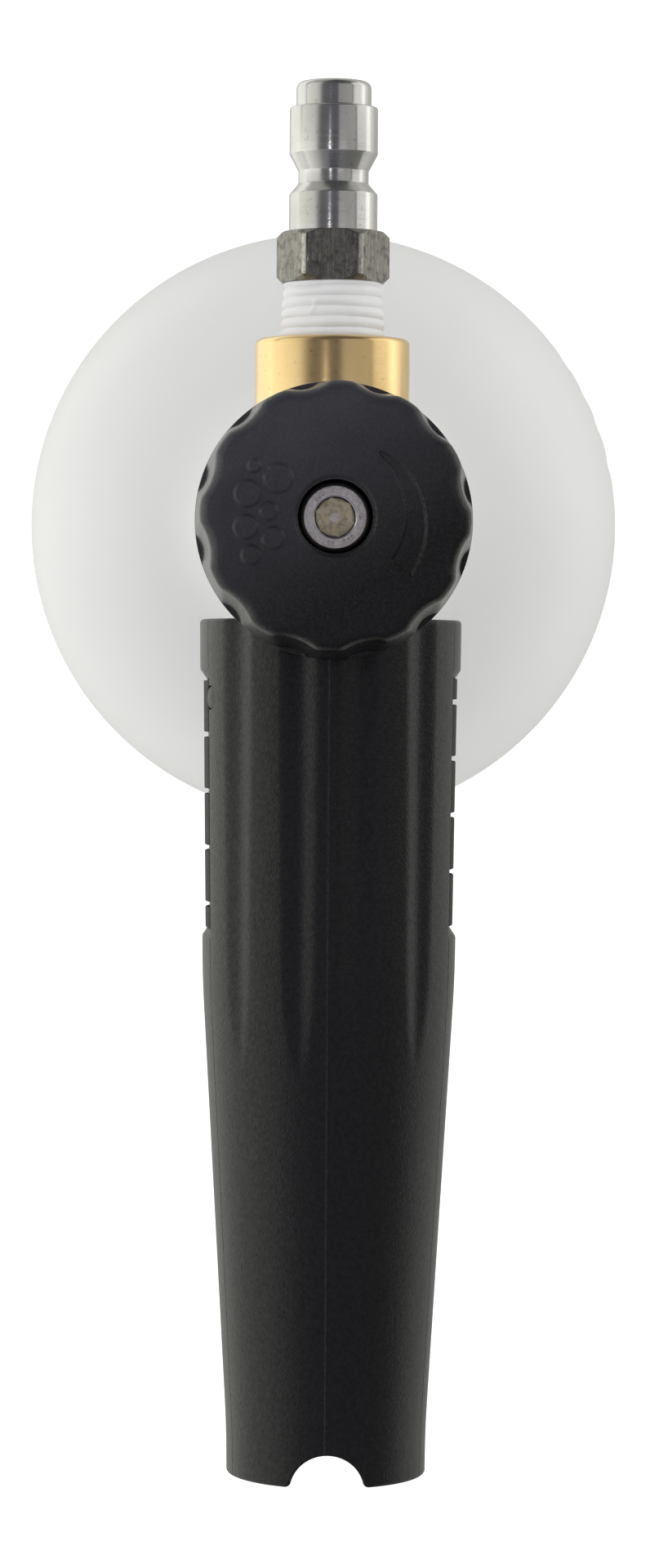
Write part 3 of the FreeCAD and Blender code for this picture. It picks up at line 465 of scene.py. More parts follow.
def make_plug():
    """Bored plug with two lands and a hexagon, whose flats and corners differ in finish."""
    rear, thread_end, face = plug_low.x, plug_high.x, brass_low.x
    hex_front, hex_rear = face - 7.6, face - 14.4
    land, groove, tip, neck, thread, bore = 5.96, 4.74, 5.08, 6.2, 6.6, 2.6
    hex_width, hex_corner, chamfer, tilt = 13.5, 7.6, 0.74, radians(-1.6)
    land_end = hex_rear - 5.1
    groove_start = land_end - 1.4
    groove_end = groove_start - 1.7
    second_land = groove_end - 2.3
    shoulder = rear + 3.5
    turns = around(360)

    def hexagon(station):
        cone = hex_corner - chamfer + min(station - hex_rear, hex_front - station)
        return station, soft_low(hex_radius(turns, hex_width, tilt), min(cone, hex_corner), 0.03)

    profile = rounded([
        (thread_end, bore), (rear, bore, 0.35), (rear, tip, 1.0), (shoulder, tip, 0.15),
        (shoulder, land, 0.3), (second_land, land, 0.3), (groove_end, groove, 0.25),
        (groove_start, groove, 0.25), (land_end, land, 0.3), (hex_rear, land, 0.12),
    ], steps=4)
    chamfer_runs = np.linspace(0, chamfer, 12)
    profile += [hexagon(hex_rear + run) for run in chamfer_runs]
    profile += [hexagon(hex_front - run) for run in chamfer_runs[::-1]]
    profile += rounded([
        (hex_front, neck), (face, neck), (face, thread), (thread_end, thread, 0.8), (thread_end, bore)])
    plug = grid_object("quick_connect_plug", rings_x(profile, turns), sharp=28)
    dress(plug, "head", "stainless", "inlet_plug", "turned_steel", "brushed_hex", "worn_edge")
    corner_turn = acos(hex_width / 2 / hex_corner)
    for side, x, y, z in face_places(plug):
        if hex_rear - 0.001 < x < hex_front + 0.001 and hypot(y, z) > land:
            within = (atan2(y, z) - tilt + pi / 6) % (pi / 3) - pi / 6
            between = hex_rear + chamfer < x < hex_front - chamfer
            side.material_index = 2 if between and abs(within) > corner_turn else 1


def make_tape():
    """Wound tape on a taper, swollen over the thread and wrinkled once."""
    start, end = tape_low.x, tape_high.x
    inner, thin, thick, ridges, first_ridge, ridge_height = 6.25, 0.08, 0.52, 5.35, 0.53, 0.32
    turns = around(240)
    profile = []
    for share in np.linspace(0, 1, 150):
        station = start + share * (end - start)
        wobble = 0.05 * np.sin(turns + share * 3) + 0.03 * np.sin(turns * 3 - share * 8)
        winding = first_ridge + share * ridges + wobble
        uneven = 1 + 0.14 * np.sin(turns * 2 + share * 9) + 0.1 * np.sin(turns * 3 - share * 13)
        ridge = ridge_height * uneven * np.abs(np.sin(winding * pi)) ** 0.7
        base = inner + thin + (thick - thin) * share
        off_wrinkle = np.mod(turns + pi, tau) - pi + 0.42 + 0.05 * (station - start - 4)
        wrinkle = 0.2 * np.exp(-((station - start - 3.8) / 1.1) ** 2 - (off_wrinkle / 0.05) ** 2)
        ripple = 0.008 * np.sin(turns * 4 + share * 11) + 0.005 * np.sin(turns * 7 - share * 17)
        edge = 0.12 * (1 - smooth_step(0, 0.02, share)) + 0.12 * smooth_step(0.98, 1, share)
        profile.append((station, base + ridge + wrinkle + ripple - edge))
    profile += [(end, inner), (start, inner)]
    tape = grid_object("sealing_tape", rings_x(profile, turns), close_rows=True, sharp=60)
    dress(tape, "head", "white_tape", "thread_tape", "white_tape")


def make_brass():
    """Block of three crossing cylinders with the bored stem under it."""
    rear, front, stem_end = brass_low.x, brass_high.x, brass_low.z - axis_z
    radius, boss, drop, stem, bore, bore_depth = 10.4, 10.5, 20.0, 7.4, 4.0, 8.0
    valve_boss, height = 9.5, 17.0
    block = [(rear, 0), (rear, radius, 0.8), (front, radius, 0.8), (front, 0)]
    body = grid_object("brass_block", rings_x(rounded(block), around(192)))
    for corners, count, x in (
        ([(0, 0), (boss, 0), (boss, -drop, 0.4), (0, -drop)], 192, 0.0),
        ([(0, 0), (valve_boss, 0), (valve_boss, height, 0.5), (0, height)], 192, valve_x),
        ([(0, 1 - drop), (stem, 1 - drop), (stem, stem_end, 0.6), (bore, stem_end, 0.3),
          (bore, stem_end + bore_depth), (0, stem_end + bore_depth)], 128, 0.0),
    ):
        combine(body, grid_object("tool", rings_z(rounded(corners), around(count), x)), "UNION")
    dress(body, "head", "yellow_brass", "brass_body", "turned_brass", "upright_brass")
    for face, _, y, z in face_places(body):
        off_block = hypot(y, z) > radius + 0.02 or z < -radius - 0.02
        face.material_index = 1 if off_block else 0


def make_gland():
    """Hexagon nut with chamfered corners, which the knob sits over."""
    low, width, chamfer, bore = 17.0, 16.0, 1.0, 4.06
    corner = width / 2 / cos(pi / 6)
    turns = around(360)
    profile = [(bore, low)]
    for end, run in (
        (low, 0), (low, 0.5), (low, 1), (gland_top, -1), (gland_top, -0.5), (gland_top, 0),
    ):
        broken = corner - (1 - abs(run)) * chamfer * 1.6
        profile.append((soft_low(hex_radius(turns, width), broken, 0.05), end + run * chamfer))
    profile.append((bore, gland_top))
    nut = grid_object("valve_gland", rings_z(profile, turns, valve_x), close_rows=True, sharp=25)
    dress(nut, "head", "yellow_brass", "gland_nut", "upright_brass")


# Knob and its screw

def scalloped_side(turns, share):
    """Radius of the knob's side by turn, at a share of the way up to its top."""
    side, taper, depth, deeper, first, blend = 18.0, 0.85, 0.58, 0.3, radians(12.5), 0.28
    pitch = tau / 12
    within = np.mod(turns - first + pitch / 2, pitch) - pitch / 2
    lobe = side - taper * share
    cutter = 3.4 + 4.0 * share
    reach = lobe - depth - deeper * share + cutter
    off_middle = reach * np.sin(within)
    hollow = reach * np.cos(within) - np.sqrt(np.maximum(cutter ** 2 - off_middle ** 2, 0.01))
    hollow = np.where(np.abs(off_middle) < cutter * 0.95, hollow, side + 3)
    return soft_low(lobe, hollow, blend)


def make_knob():
    """Scalloped cup on a round flange, with the screw's recess and the marks in its face."""
    base, top = knob_low.z - axis_z, knob_high.z - axis_z
    flange, cup, ledge, mark_height = 18.04, 13.5, base + 3.5, 0.36
    face, cup_top, hub, hub_base = top - mark_height, top - 3.4, 8.0, gland_top + 0.3
    recess, floor, chamfer, top_round, marks_start, marks_end = 4.8, top - 9.9, 0.5, 1.7, 6.25, 13.9
    round_low = face - top_round
    turns = around(720)

    def side_radius(height):
        return scalloped_side(turns, (height - ledge) / (top - ledge))

    profile = [(0.001, floor)]
    profile += rounded([
        (recess - 0.3, floor), (recess, floor, 0.25), (recess, face - chamfer, 0.3),
        (recess + chamfer, face, 0.35), (recess + 2 * chamfer, face),
    ])
    profile += [(radius, face) for radius in np.arange(marks_start, marks_end, 0.08)]
    round_start = side_radius(round_low) - top_round
    profile += [(marks_end + share * (round_start - marks_end), face) for share in (0.25, 0.6)]
    for turn in np.linspace(0, pi / 2, 15):
        profile.append((round_start + top_round * sin(turn), round_low + top_round * cos(turn)))
    profile += [(side_radius(height), height) for height in np.linspace(round_low, ledge + 0.3, 7)[1:]]
    profile.append((side_radius(ledge) + 0.04, ledge + 0.08))
    profile.append((np.minimum(side_radius(ledge) + 0.16, flange - 0.05), ledge))
    profile += rounded([
        (flange - 0.3, ledge), (flange, ledge, 0.25), (flange, base, 0.4), (cup, base, 0.4),
        (cup, cup_top, 1.0), (hub, cup_top, 0.8), (hub, hub_base, 0.3), (0.001, hub_base),
    ])[1:]
    points = np.array(rings_z(profile, turns, valve_x))
    raise_marks(points, face, mark_height)
    knob = grid_object("dosing_knob", points, sharp=40)
    dress(knob, "knob", "knob_plastic", "knob", "knob_plastic")


def raise_marks(points, face, height):
    """Lifts the round bubbles on the knob's face and sinks the curved wedge."""
    bubbles = (
        (-10.33, 6.24, 0.79), (-7.28, 4.70, 1.83), (-11.14, 2.75, 1.66), (-8.44, 0.55, 1.11),
        (-11.35, -1.45, 1.51), (-7.87, -2.85, 1.40), (-10.67, -5.03, 1.22),
    )
    half_edge, wedge_start, wedge_end, wedge_inner, wedge_outer = 0.25, -38, 56, 9.5, 9.9
    across, ahead = points[..., 1], valve_x - points[..., 0]
    lift = np.zeros(across.shape)
    for y, up, radius in bubbles:
        away = np.hypot(across - y, ahead - up)
        lift = np.maximum(lift, smooth_step(radius + half_edge, radius - half_edge, away))
    turn = np.degrees(np.arctan2(ahead, across))
    away = np.hypot(across, ahead)
    share = np.clip((wedge_end - turn) / (wedge_end - wedge_start), 0, 1)
    outer = wedge_outer + 2.2 * share ** 0.8
    inner = wedge_inner - 0.55 * np.minimum(share * 2.2, 1)
    wedge = smooth_step(inner - half_edge, inner + half_edge, away)
    wedge *= smooth_step(outer + half_edge, outer - half_edge, away)
    wedge *= smooth_step(wedge_start - 1.6, wedge_start + 1, turn)
    wedge *= smooth_step(wedge_end + 1.5, wedge_end - 1.5, turn)
    on_face = np.abs(points[..., 2] - face) < 1e-6
    points[..., 2] += np.where(on_face, height * (lift - wedge), 0)


def make_screw():
    """Socket-head screw with a dimple in its socket and plain ticks on its rim."""
    foot, top = screw_low.z - axis_z, screw_high.z - axis_z
    head_low, floor = top - 5.0, top - 1.3
    radius, socket, shaft, cone_depth, tip, lip_depth = 4.46, 4.4, 2.45, 0.7, 0.62, 0.5
    dimple, socket_edge, rim_start, rim_end = 0.64, 2.6, 2.8, 3.98
    turns = around(360)
    hexagon, knurl = hex_radius(turns, socket, radians(12)), 0.04 * np.cos(turns * 60)
    profile = [(0.001, floor - cone_depth), (tip, floor - cone_depth)]
    for share in np.linspace(0.02, 1, 8):
        wall = tip + 0.04 + share * (hexagon - tip - 0.1)
        profile.append((wall, floor - cone_depth * (1 - share)))
    profile += [(hexagon, floor + 0.1), (hexagon, top - lip_depth)]
    for share in np.linspace(0.1, 1, 8):
        lip = np.maximum(hexagon, socket / 2 + 0.55 * share)
        profile.append((lip, top - lip_depth * (1 - share) ** 1.5))
    profile += [(rim, top) for rim in np.linspace(socket / 2 + 0.62, radius - 0.58, 9)]
    for depth, inset in ((0.0, 0.5), (0.08, 0.28), (0.25, 0.09), (0.5, 0.0)):
        profile.append((radius - inset + knurl * (1 - min(inset, 0.2) / 0.2), top - depth))
    profile += [
        (radius + knurl, head_low + 0.3), (radius - 0.26, head_low), (shaft, head_low),
        (shaft, foot + 0.5), (shaft - 0.5, foot), (0.001, foot),
    ]
    points = np.array(rings_z(profile, turns, valve_x))
    sink_ticks(points, top)
    screw = grid_object("socket_screw", points, sharp=30)
    dress(screw, "knob", "stainless", "knob_screw", "faced_steel_painted_light", "warm_steel_painted_light", "upright_steel")
    for face, x, y, z in face_places(screw):
        away = hypot(x - valve_x, y)
        if z < top - lip_depth - 0.02:
            face.material_index = 1 if dimple < away < socket_edge else 0
        elif away < rim_start or away > rim_end:
            face.material_index = 2


def sink_ticks(points, top):
    """Short ticks pressed into the rim of the screw's head."""
    across, ahead = points[..., 1], valve_x - points[..., 0]
    away, turn = np.hypot(across, ahead), np.degrees(np.arctan2(ahead, across))
    on_rim = (np.abs(points[..., 2] - top) < 1e-6) & (away > 3.1) & (away < 3.75)
    ticks = np.zeros(away.shape)
    for middle in (118, 128, 138, -2, 4, -48, -58, -68, -95, -103):
        ticks = np.maximum(ticks, smooth_step(2.6, 1.6, np.abs(turn - middle)))
    points[..., 2] -= np.where(on_rim, 0.13 * ticks, 0)


# Shroud

shroud_wall = 2.6
shroud_stations = (
    (shroud_low.x, shroud_high.y, shroud_high.z - axis_z),
    (shroud_low.x + 48.3, 16.95, 18.2),
    (shroud_high.x - 5.9, 13.4, 14.9),
    (shroud_high.x, 13.34, 14.8),
)
shroud_seam = radians(-1.1)    # turn of the thin parting line from the top
recess_start, recess_length, recess_depth, recess_ramp = shroud_low.x + 6.7, 35.7, 1.0, 1.5
recess_end = recess_start + recess_length
recess_half_turn = radians(21)


def shroud_half(stations, smoothing=3.0):
    """Half width and half height of the housing, eased where its stretches meet."""
    xs, widths, heights = zip(*shroud_stations)
    shifts = np.linspace(-smoothing, smoothing, 7)
    inside = np.clip(np.array(stations, float)[..., None] + shifts, xs[0], xs[-1])
    return np.interp(inside, xs, widths).mean(-1), np.interp(inside, xs, heights).mean(-1)


def oval_points(stations, turns, inset=0.0):
    """Points on the housing's oval, drawn inwards by inset, and the oval's normal."""
    half_width, half_height = shroud_half(stations)
    out_y, out_z = np.sin(turns) / half_width, np.cos(turns) / half_height
    size = np.hypot(out_y, out_z)
    out_y, out_z = out_y / size, out_z / size
    y = half_width * np.sin(turns) - inset * out_y
    z = half_height * np.cos(turns) - inset * out_z
    return np.stack([np.broadcast_to(stations, y.shape), y, z], axis=-1), out_y, out_z


def oval_ring(stations, turns, inset=0.0):
    """Points on the housing's oval, drawn inwards by inset."""
    return oval_points(stations, turns, inset)[0]


def flute_inset(stations, turns):
    """Depth of the eight long grooves, which run straight and end in the taper."""
    half_width, top_depth, side_depth, end_drop, lean, own_side = 2.9, 0.64, 0.55, 0.82, 1.1, 4
    middle = shroud_low.x + 24.15
    skin = oval_ring(stations, turns)
    inset = np.zeros(turns.shape)
    for flute in (13.1, 44.5, -13.1, -44.5, 166.9, 135.5, 193.1, 224.5):
        depth = side_depth if abs(sin(radians(flute))) > 0.5 else top_depth
        angle = np.array([radians(flute - lean)])
        foot, out_y, out_z = oval_points(middle, angle)
        here = oval_ring(stations, angle)
        outwards, sideways = np.array([0, out_y[0], out_z[0]]), np.array([0, out_z[0], -out_y[0]])
        here_depth = depth * np.maximum(1 - (foot - here) @ outwards / end_drop, 0) ** 0.7
        away = np.abs((skin - foot) @ sideways)
        reach = half_width * np.sqrt(np.maximum(here_depth, 1e-6) / depth)
        groove = here_depth / 2 * (1 + np.cos(pi * np.minimum(away / reach, 1)))
        near = np.abs((skin - here) @ outwards) < own_side
        inset = np.maximum(inset, np.where(near, groove, 0))
    return inset


def skin_inset(stations, turns):
    """Grooves, side recesses and the parting line, as one inset."""
    from_side = np.abs(np.abs(np.mod(turns, tau) - pi) - pi / 2)
    within = smooth_step(recess_half_turn + 0.012, recess_half_turn - 0.012, from_side)
    along = np.clip(np.minimum(stations - recess_start, recess_end - stations) / recess_ramp, 0, 1)
    off_seam = np.abs(np.mod(turns - shroud_seam + pi / 2, pi) - pi / 2)
    seam = -0.1 * smooth_step(0.012, 0.004, off_seam)
    panel_edge = 0.04 * smooth_step(0.008, 0.002, np.abs(from_side - recess_half_turn))
    return flute_inset(stations, turns) + recess_depth * within * along + seam + panel_edge


def rim_stations(turns, inset):
    """Stations of the front rim, drawn back by the round notch in its top and bottom."""
    front, radius, beyond, corner = shroud_high.x, 5.05, 0.7, 0.9
    corner_y = sqrt((radius + corner) ** 2 - (beyond + corner) ** 2)
    touch_y = corner_y * radius / (radius + corner)
    off = np.abs(oval_ring(front, turns, inset)[..., 1])
    in_notch = front + beyond - np.sqrt(np.maximum(radius ** 2 - off ** 2, 0))
    in_corner = front - corner + np.sqrt(np.maximum(corner ** 2 - (off - corner_y) ** 2, 0))
    return np.where(off < touch_y, in_notch, np.where(off < corner_y, in_corner, front))


def shroud_turns():
    """Turns round the housing, closer together at the notch and the recess."""
    turns, turn = [], 0.0
    while turn < 360 - 1e-6:
        turns.append(turn)
        from_end = min(turn % 180, 180 - turn % 180)
        fine = 13 <= from_end <= 27 or 66 <= from_end <= 72
        turn += 0.25 if fine else 0.75
    return np.radians(turns) + shroud_seam


def skin_stations():
    """Stations along the housing, closer together at its rear edge and the recess's ramps."""
    rear, front = shroud_low.x, shroud_high.x
    return np.concatenate([
        rear + np.array([0, 0.03, 0.12, 0.26, 0.5, 1.0]),
        np.arange(rear + 2, recess_start - 0.5, 1.0),
        np.linspace(recess_start - 0.2, recess_start + recess_ramp + 0.2, 8),
        np.arange(recess_start + recess_ramp + 1, recess_end - recess_ramp - 0.6, 1.3),
        np.linspace(recess_end - recess_ramp - 0.2, recess_end + 0.2, 8),
        np.arange(recess_end + 1, front - 12, 1.3),
    ])


def make_shroud():
    """Oval housing with its notch, its inner walls and its raised blocks."""
    rear, rear_round = shroud_low.x, 0.5
    turns = shroud_turns()
    profile = []
    for station in skin_stations():
        from_round = max(rear_round - (station - rear), 0)
        edge = rear_round - sqrt(max(rear_round ** 2 - from_round ** 2, 0))
        profile.append((station, skin_inset(station, turns) + edge))
    last = skin_stations()[-1]
    outer_end = rim_stations(turns, 0.0)
    for share, back, edge in (
        (0.25, 1.2, 0), (0.5, 1.2, 0), (0.75, 1.2, 0), (1, 1.2, 0), (1, 0.7, 0), (1, 0.45, 0),
        (1, 0.3, 0.01), (1, 0.18, 0.045), (1, 0.08, 0.12), (1, 0.02, 0.2), (1, 0.0, 0.3),
    ):
        stations = last + share * (outer_end - back - last)
        profile.append((stations, skin_inset(stations, turns) + edge))
    for inset in (0.35 * shroud_wall, 0.65 * shroud_wall, shroud_wall - 0.12):
        profile.append((rim_stations(turns, inset), inset))
    inner_end = rim_stations(turns, shroud_wall)
    for share, back in ((1, 0.15), (0.7, 0.2), (0.4, 0.2), (0, 0)):
        profile.append((last + share * (inner_end - back - last), shroud_wall))
    profile += [(station, shroud_wall) for station in (100, 84, 66, 50, 30, rear + 0.2)]
    profile.append((rear, shroud_wall - 0.15))
    rings = [oval_ring(stations, turns, inset) for stations, inset in profile]
    housing = grid_object("housing", rings, close_rows=True, sharp=38)
    dress_pin(housing)
    walls, pads = inner_walls(), raised_blocks()
    for piece in [housing] + walls:
        wear(piece, "shroud_plastic")
    for piece in pads:
        wear(piece, "pad_rubber")
    shroud = join([housing] + walls + pads, "nozzle_shroud")
    dress(shroud, "shroud", "shroud_plastic", "shroud")


def raised_blocks():
    """Four long blocks and a short one in each side recess, in opposite order."""
    block, pitch, short, count = 6.9, 7.58, 2.8, 4
    pieces = []
    for side in (-1, 1):
        for number in range(count + 1):
            length = block if number < count else short
            low = recess_ramp + number * pitch
            start = recess_start + low if side < 0 else recess_end - low - length
            pieces.append(slab(side, start, start + length))
    return pieces


def slab(side, start, end):
    """Block with softened edges that stands in a side recess."""
    height, half_height, bevel, oval_height, turn_size = 0.56, 5.2, 0.16, 18.4, 17
    half_turn, bevel_turn = asin(half_height / oval_height), bevel / turn_size
    soft = np.array([0, 0.3, 1])
    across = np.concatenate([
        bevel_turn * soft - half_turn, np.linspace(-half_turn, half_turn, 11)[1:-1],
        half_turn - bevel_turn * soft[::-1]])
    along = np.concatenate([start + bevel * soft, [(start + end) / 2], end - bevel * soft[::-1]])
    near_end = np.minimum(along - start, end - along)[:, None]
    near_side = (half_turn - np.abs(across)) * turn_size
    near = np.minimum(np.minimum(near_end, near_side), bevel)
    insets = recess_depth - height + bevel - np.sqrt(np.maximum(bevel ** 2 - (bevel - near) ** 2, 0))
    insets = np.pad(insets, 1, constant_values=recess_depth + 0.4)
    turns = side * pi / 2 + np.pad(across, 1, mode="edge")
    points = oval_ring(np.pad(along, 1, mode="edge")[:, None], turns, insets)
    rows, columns = insets.shape
    index = np.arange(rows * columns).reshape(rows, columns)
    border = np.concatenate([index[0], index[1:, -1], index[-1, -2::-1], index[-2:0:-1, 0]])
    faces = grid_faces(rows, columns, False, False) + [border.tolist()]
    return mesh_object("grip_slab", points, faces, 24)


def inner_walls():
    """Bulkheads, key rails and cams inside the housing."""
    turns, bore, rail_start, rail_end = around(160), 8.06, 44.05, 76.05
    cam_start, cam_end, cam_wall = 79.7, 95.2, 12.9
    pieces = []
    for start in (body_front + 3.2, body_front + 42.05):
        runs = ((0, 0.3), (0.3, 0), (3.7, 0), (4, 0.3))
        rings = rings_x([(start + run, bore + edge) for run, edge in runs], turns)
        rings += [oval_ring(start + run, turns, shroud_wall - 0.4) for run in (4, 0)]
        pieces.append(grid_object("bulkhead", rings, close_rows=True))
    for side in (-1, 1):
        outline = [(rail_start, -1.5), (rail_end, -1.5), (rail_end, 1.5), (rail_start, 1.5)]
        pieces.append(prism("key_rail", outline, side * 11.3, side * 13.4))
        outline = [(cam_start, 10.35), (cam_end, 7.2), (cam_end, 0.95 * cam_wall), (cam_start, cam_wall)]
        pieces.append(prism("cam", [(x, side * y) for x, y in outline], -2.5, 2.5))
    return pieces


def prism(name, outline, low, high):
    """Bevelled prism over a plan outline whose stations start at the brass."""
    count = len(outline)
    points = [(body_front + x, y, z) for z in (low, high) for x, y in outline]
    faces = [tuple(range(count)), tuple(range(count, 2 * count))]
    faces += [(i, (i + 1) % count, count + (i + 1) % count, count + i) for i in range(count)]
    return mesh_object(name, points, faces, sharp=40, bevel=0.2)


def dress_pin(housing):
    """Hole for the guide pin in the housing, and the pin itself."""
    low, high = node_box("shroud_pin")
    foot = np.array([(low.x + high.x) / 2, 0, 0])
    lean, radius, gap, nose = radians(66), 1.48, 0.14, 7.15
    half_width, half_height = (float(v) for v in shroud_half(foot[0]))
    skin = 1 / hypot(sin(lean) / half_width, cos(lean) / half_height)
    outward = np.array([0, -sin(lean), cos(lean)])
    beside = np.array([0, cos(lean), sin(lean)])
    turns = around(48)[:, None]
    circle = np.cos(turns) * beside + np.sin(turns) * (1, 0, 0)

    def turned(name, corners):
        rings = [foot + outward * along + across * circle for along, across in rounded(corners)]
        return grid_object(name, rings, sharp=30)

    hole, clear = radius + gap, skin + 2
    corners = [(nose, 0.001), (nose, hole), (clear, hole), (clear, 0.001)]
    combine(housing, turned("hole", corners), "DIFFERENCE")
    pin = turned("guide_pin", [
        (nose, 0.001), (nose, radius, 0.2), (skin - 0.2, radius, 0.15), (skin - 0.12, 0.001)])
    dress(pin, "shroud", "shroud_plastic", "shroud_pin", "shroud_plastic")


# Bottle, whose profile is measured from the floor, and its cap

straight = 150.0    # top of the bottle's straight wall


def arc(radius, height, size, turns):
    """Profile points round a centre at a radius and height."""
    return [(radius + size * cos(turn), height + size * sin(turn)) for turn in turns]


def shoulder_points(side, bend, neck, blend):
    """Profile over the shoulder, from the straight wall to the neck."""
    slope = radians(24)
    turn = pi / 2 - slope
    points = arc(side - bend, straight, bend, np.linspace(0, turn, 20))
    low_radius = neck + blend - blend * sin(slope)
    low_z = points[-1][1] + (points[-1][0] - low_radius) * tan(slope)
    neck_z = low_z + blend * cos(slope)
    return points + arc(neck + blend, neck_z, -blend, np.linspace(turn, 0, 16))


def make_bottle():
    """Blown bottle with its pushed-up foot, shoulder, neck bead and thread."""
    radius, wall, neck, neck_wall, top = bottle_high.y, 1.6, 13.0, 2.2, bottle_high.z
    foot, ring, push_up, bend, blend = 8.0, 4.0, 2.5, 30.0, 18.0
    bead, bead_top = 15.6, cap_low.z - 0.6
    bead_low = bead_top - 2.5
    inside, mouth = radius - wall, neck - neck_wall
    edge = radius - foot
    outer = rounded([
        (0.001, push_up), (edge - ring, push_up * 0.9, 3.0), (edge - ring + 1.5, 0, 0.8),
        (edge, 0), (radius, 0, foot), (radius, straight * 0.5),
    ], steps=8)
    outer += [(radius, z) for z in np.linspace(straight * 0.55, straight - 4, 6)]
    outer += shoulder_points(radius, bend, neck, blend)
    outer += rounded([
        (neck, bead_low - 1), (neck, bead_low, 0.4), (bead, bead_low, 0.5), (bead, bead_top, 0.5),
        (neck, bead_top, 0.4), (neck, top, 0.5), (mouth, top, 0.5), (mouth, top - 8),
    ])[1:]
    inner = shoulder_points(inside, bend - wall, mouth, blend + wall)[::-1]
    inner += [(inside, straight * 0.5), (inside, foot), (edge, wall), (edge - ring, wall)]
    inner.append((0.001, push_up + wall))
    turns = around(480)
    profile = []
    for across, height in outer + inner:
        on_wall = across > radius * 0.8 and height > 1 and len(profile) < len(outer)
        grooves = grip_grooves(turns, across, radius) if on_wall else 0.0
        profile.append((across - grooves, height - axis_z))
    shell = grid_object("bottle_shell", rings_z(profile, turns), sharp=45)
    bottle = join([shell, neck_thread(neck, top)], "bottle_blown")
    dress(bottle, "bottle", "translucent_hdpe", "bottle", "bottle_plastic")


def grip_grooves(turns, across, radius):
    """Depth of the upright grooves in the bottle's side."""
    cutter, depth = 6.0, 0.4
    total = np.zeros(turns.shape)
    for turn in np.radians((12.4, 20.5, 27.0, 34.3)):
        off = (np.mod(turns - turn + pi, tau) - pi) * radius
        inside = np.maximum(cutter ** 2 - off ** 2, 0)
        cut = np.sqrt(inside) - (cutter - depth) - (radius - across) - off ** 2 / (2 * radius)
        total = np.maximum(total, (cut + np.sqrt(cut ** 2 + 0.004)) / 2 * (np.abs(off) < 4))
    return total


def neck_thread(neck, top):
    """Raised thread, a little over two turns, that fades at its ends."""
    height, pitch, start, winds, steps = 0.62, 4.2, top - 13.0 - axis_z, 2.2, 200
    rings = []
    for share in np.linspace(0, 1, steps + 1):
        turn = np.array([share * winds * tau])
        crest = neck + height * smooth_step(0, 0.06, share) * smooth_step(1, 0.94, share)
        middle = start + share * winds * pitch
        section = ((neck - 0.3, -1.1), (crest, -0.45), (crest, 0.25), (neck - 0.3, 0.8))
        rings.append(rings_z([(radius, middle + up) for radius, up in section], turn))
    faces = grid_faces(steps + 1, 4, False, True)
    faces += [tuple(range(4)), tuple(steps * 4 + i for i in range(4))]
    return mesh_object("neck_thread", rings, faces, 50)


def make_cap():
    """Fluted screw cap, with a hole for the brass stem."""
    radius, plate, bore, hole, flutes, flute_depth = 16.3, 4.0, 13.85, 7.45, 18, 0.55
    top = cap_high.z - axis_z
    bottom = top - 20.5
    turns = around(720)
    wave = np.maximum(np.cos(turns * flutes), 0) ** 1.5
    profile = []
    for across, level in rounded([
        (hole, top), (radius - 0.2, top, 0.8), (radius, top - 1.6, 0.8), (radius, bottom, 0.35),
        (bore, bottom, 0.4), (bore, top - plate), (hole, top - plate),
    ], closed=True, steps=6):
        flute = flute_depth * smooth_step(top - 1.0, top - 2.6, level) * wave
        profile.append((across - (across > bore + 1) * flute, level))
    cap = grid_object("screw_cap", rings_z(profile, turns), close_rows=True, sharp=40)
    dress(cap, "head", "black_cap", "bottle_cap", "cap_plastic")


# Pieces that stay as the frame gives them, with a finish of their own

kept_nodes = {
    "seal_rubber": ("cap_gasket", "barrel_seal", "spindle_oring"),
    "upright_brass": ("cap_nut", "suction_barb"),
    "turned_brass": ("barrel", "nozzle_tip"),
    "turned_steel": ("jet_nozzle", "mesh_ring"),
    "upright_steel": ("spindle", "dosing_needle", "lip_pins"),
    "grey_plastic": ("tube_strainer", "mixing_tube"),
    "black_acetal": ("lip_carrier", "lip_left", "lip_right"),
    "clear_hose": ("dip_tube",),
    "wire_mesh": ("foam_mesh",),
}
for look, kept in kept_nodes.items():
    for node_name in kept:
        wear(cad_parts[node_name], look)

make_plug()
make_tape()
make_brass()
make_gland()
make_knob()
make_screw()
make_shroud()
make_bottle()
make_cap()


# Studio

def soft_box(name, place_mm, size_mm, energy, reflected=True, aim_x=None):
    """Rectangular lamp that faces the spray axis, with its first side level."""
    light = bpy.data.lights.new(name, "AREA")
    light.shape = "RECTANGLE"
    light.size, light.size_y = (side * mm for side in size_mm)
    light.energy = energy
    light.color = (1, 0.998, 0.95)
    lamp = new_object(name, light)
    lamp.location = Vector(place_mm) * mm
    lamp.visible_glossy = reflected
    aim = Vector((place_mm[0] if aim_x is None else aim_x, 0, 240)) * mm
    lamp.rotation_euler = (aim - lamp.location).to_track_quat("-Z", "Y").to_euler()


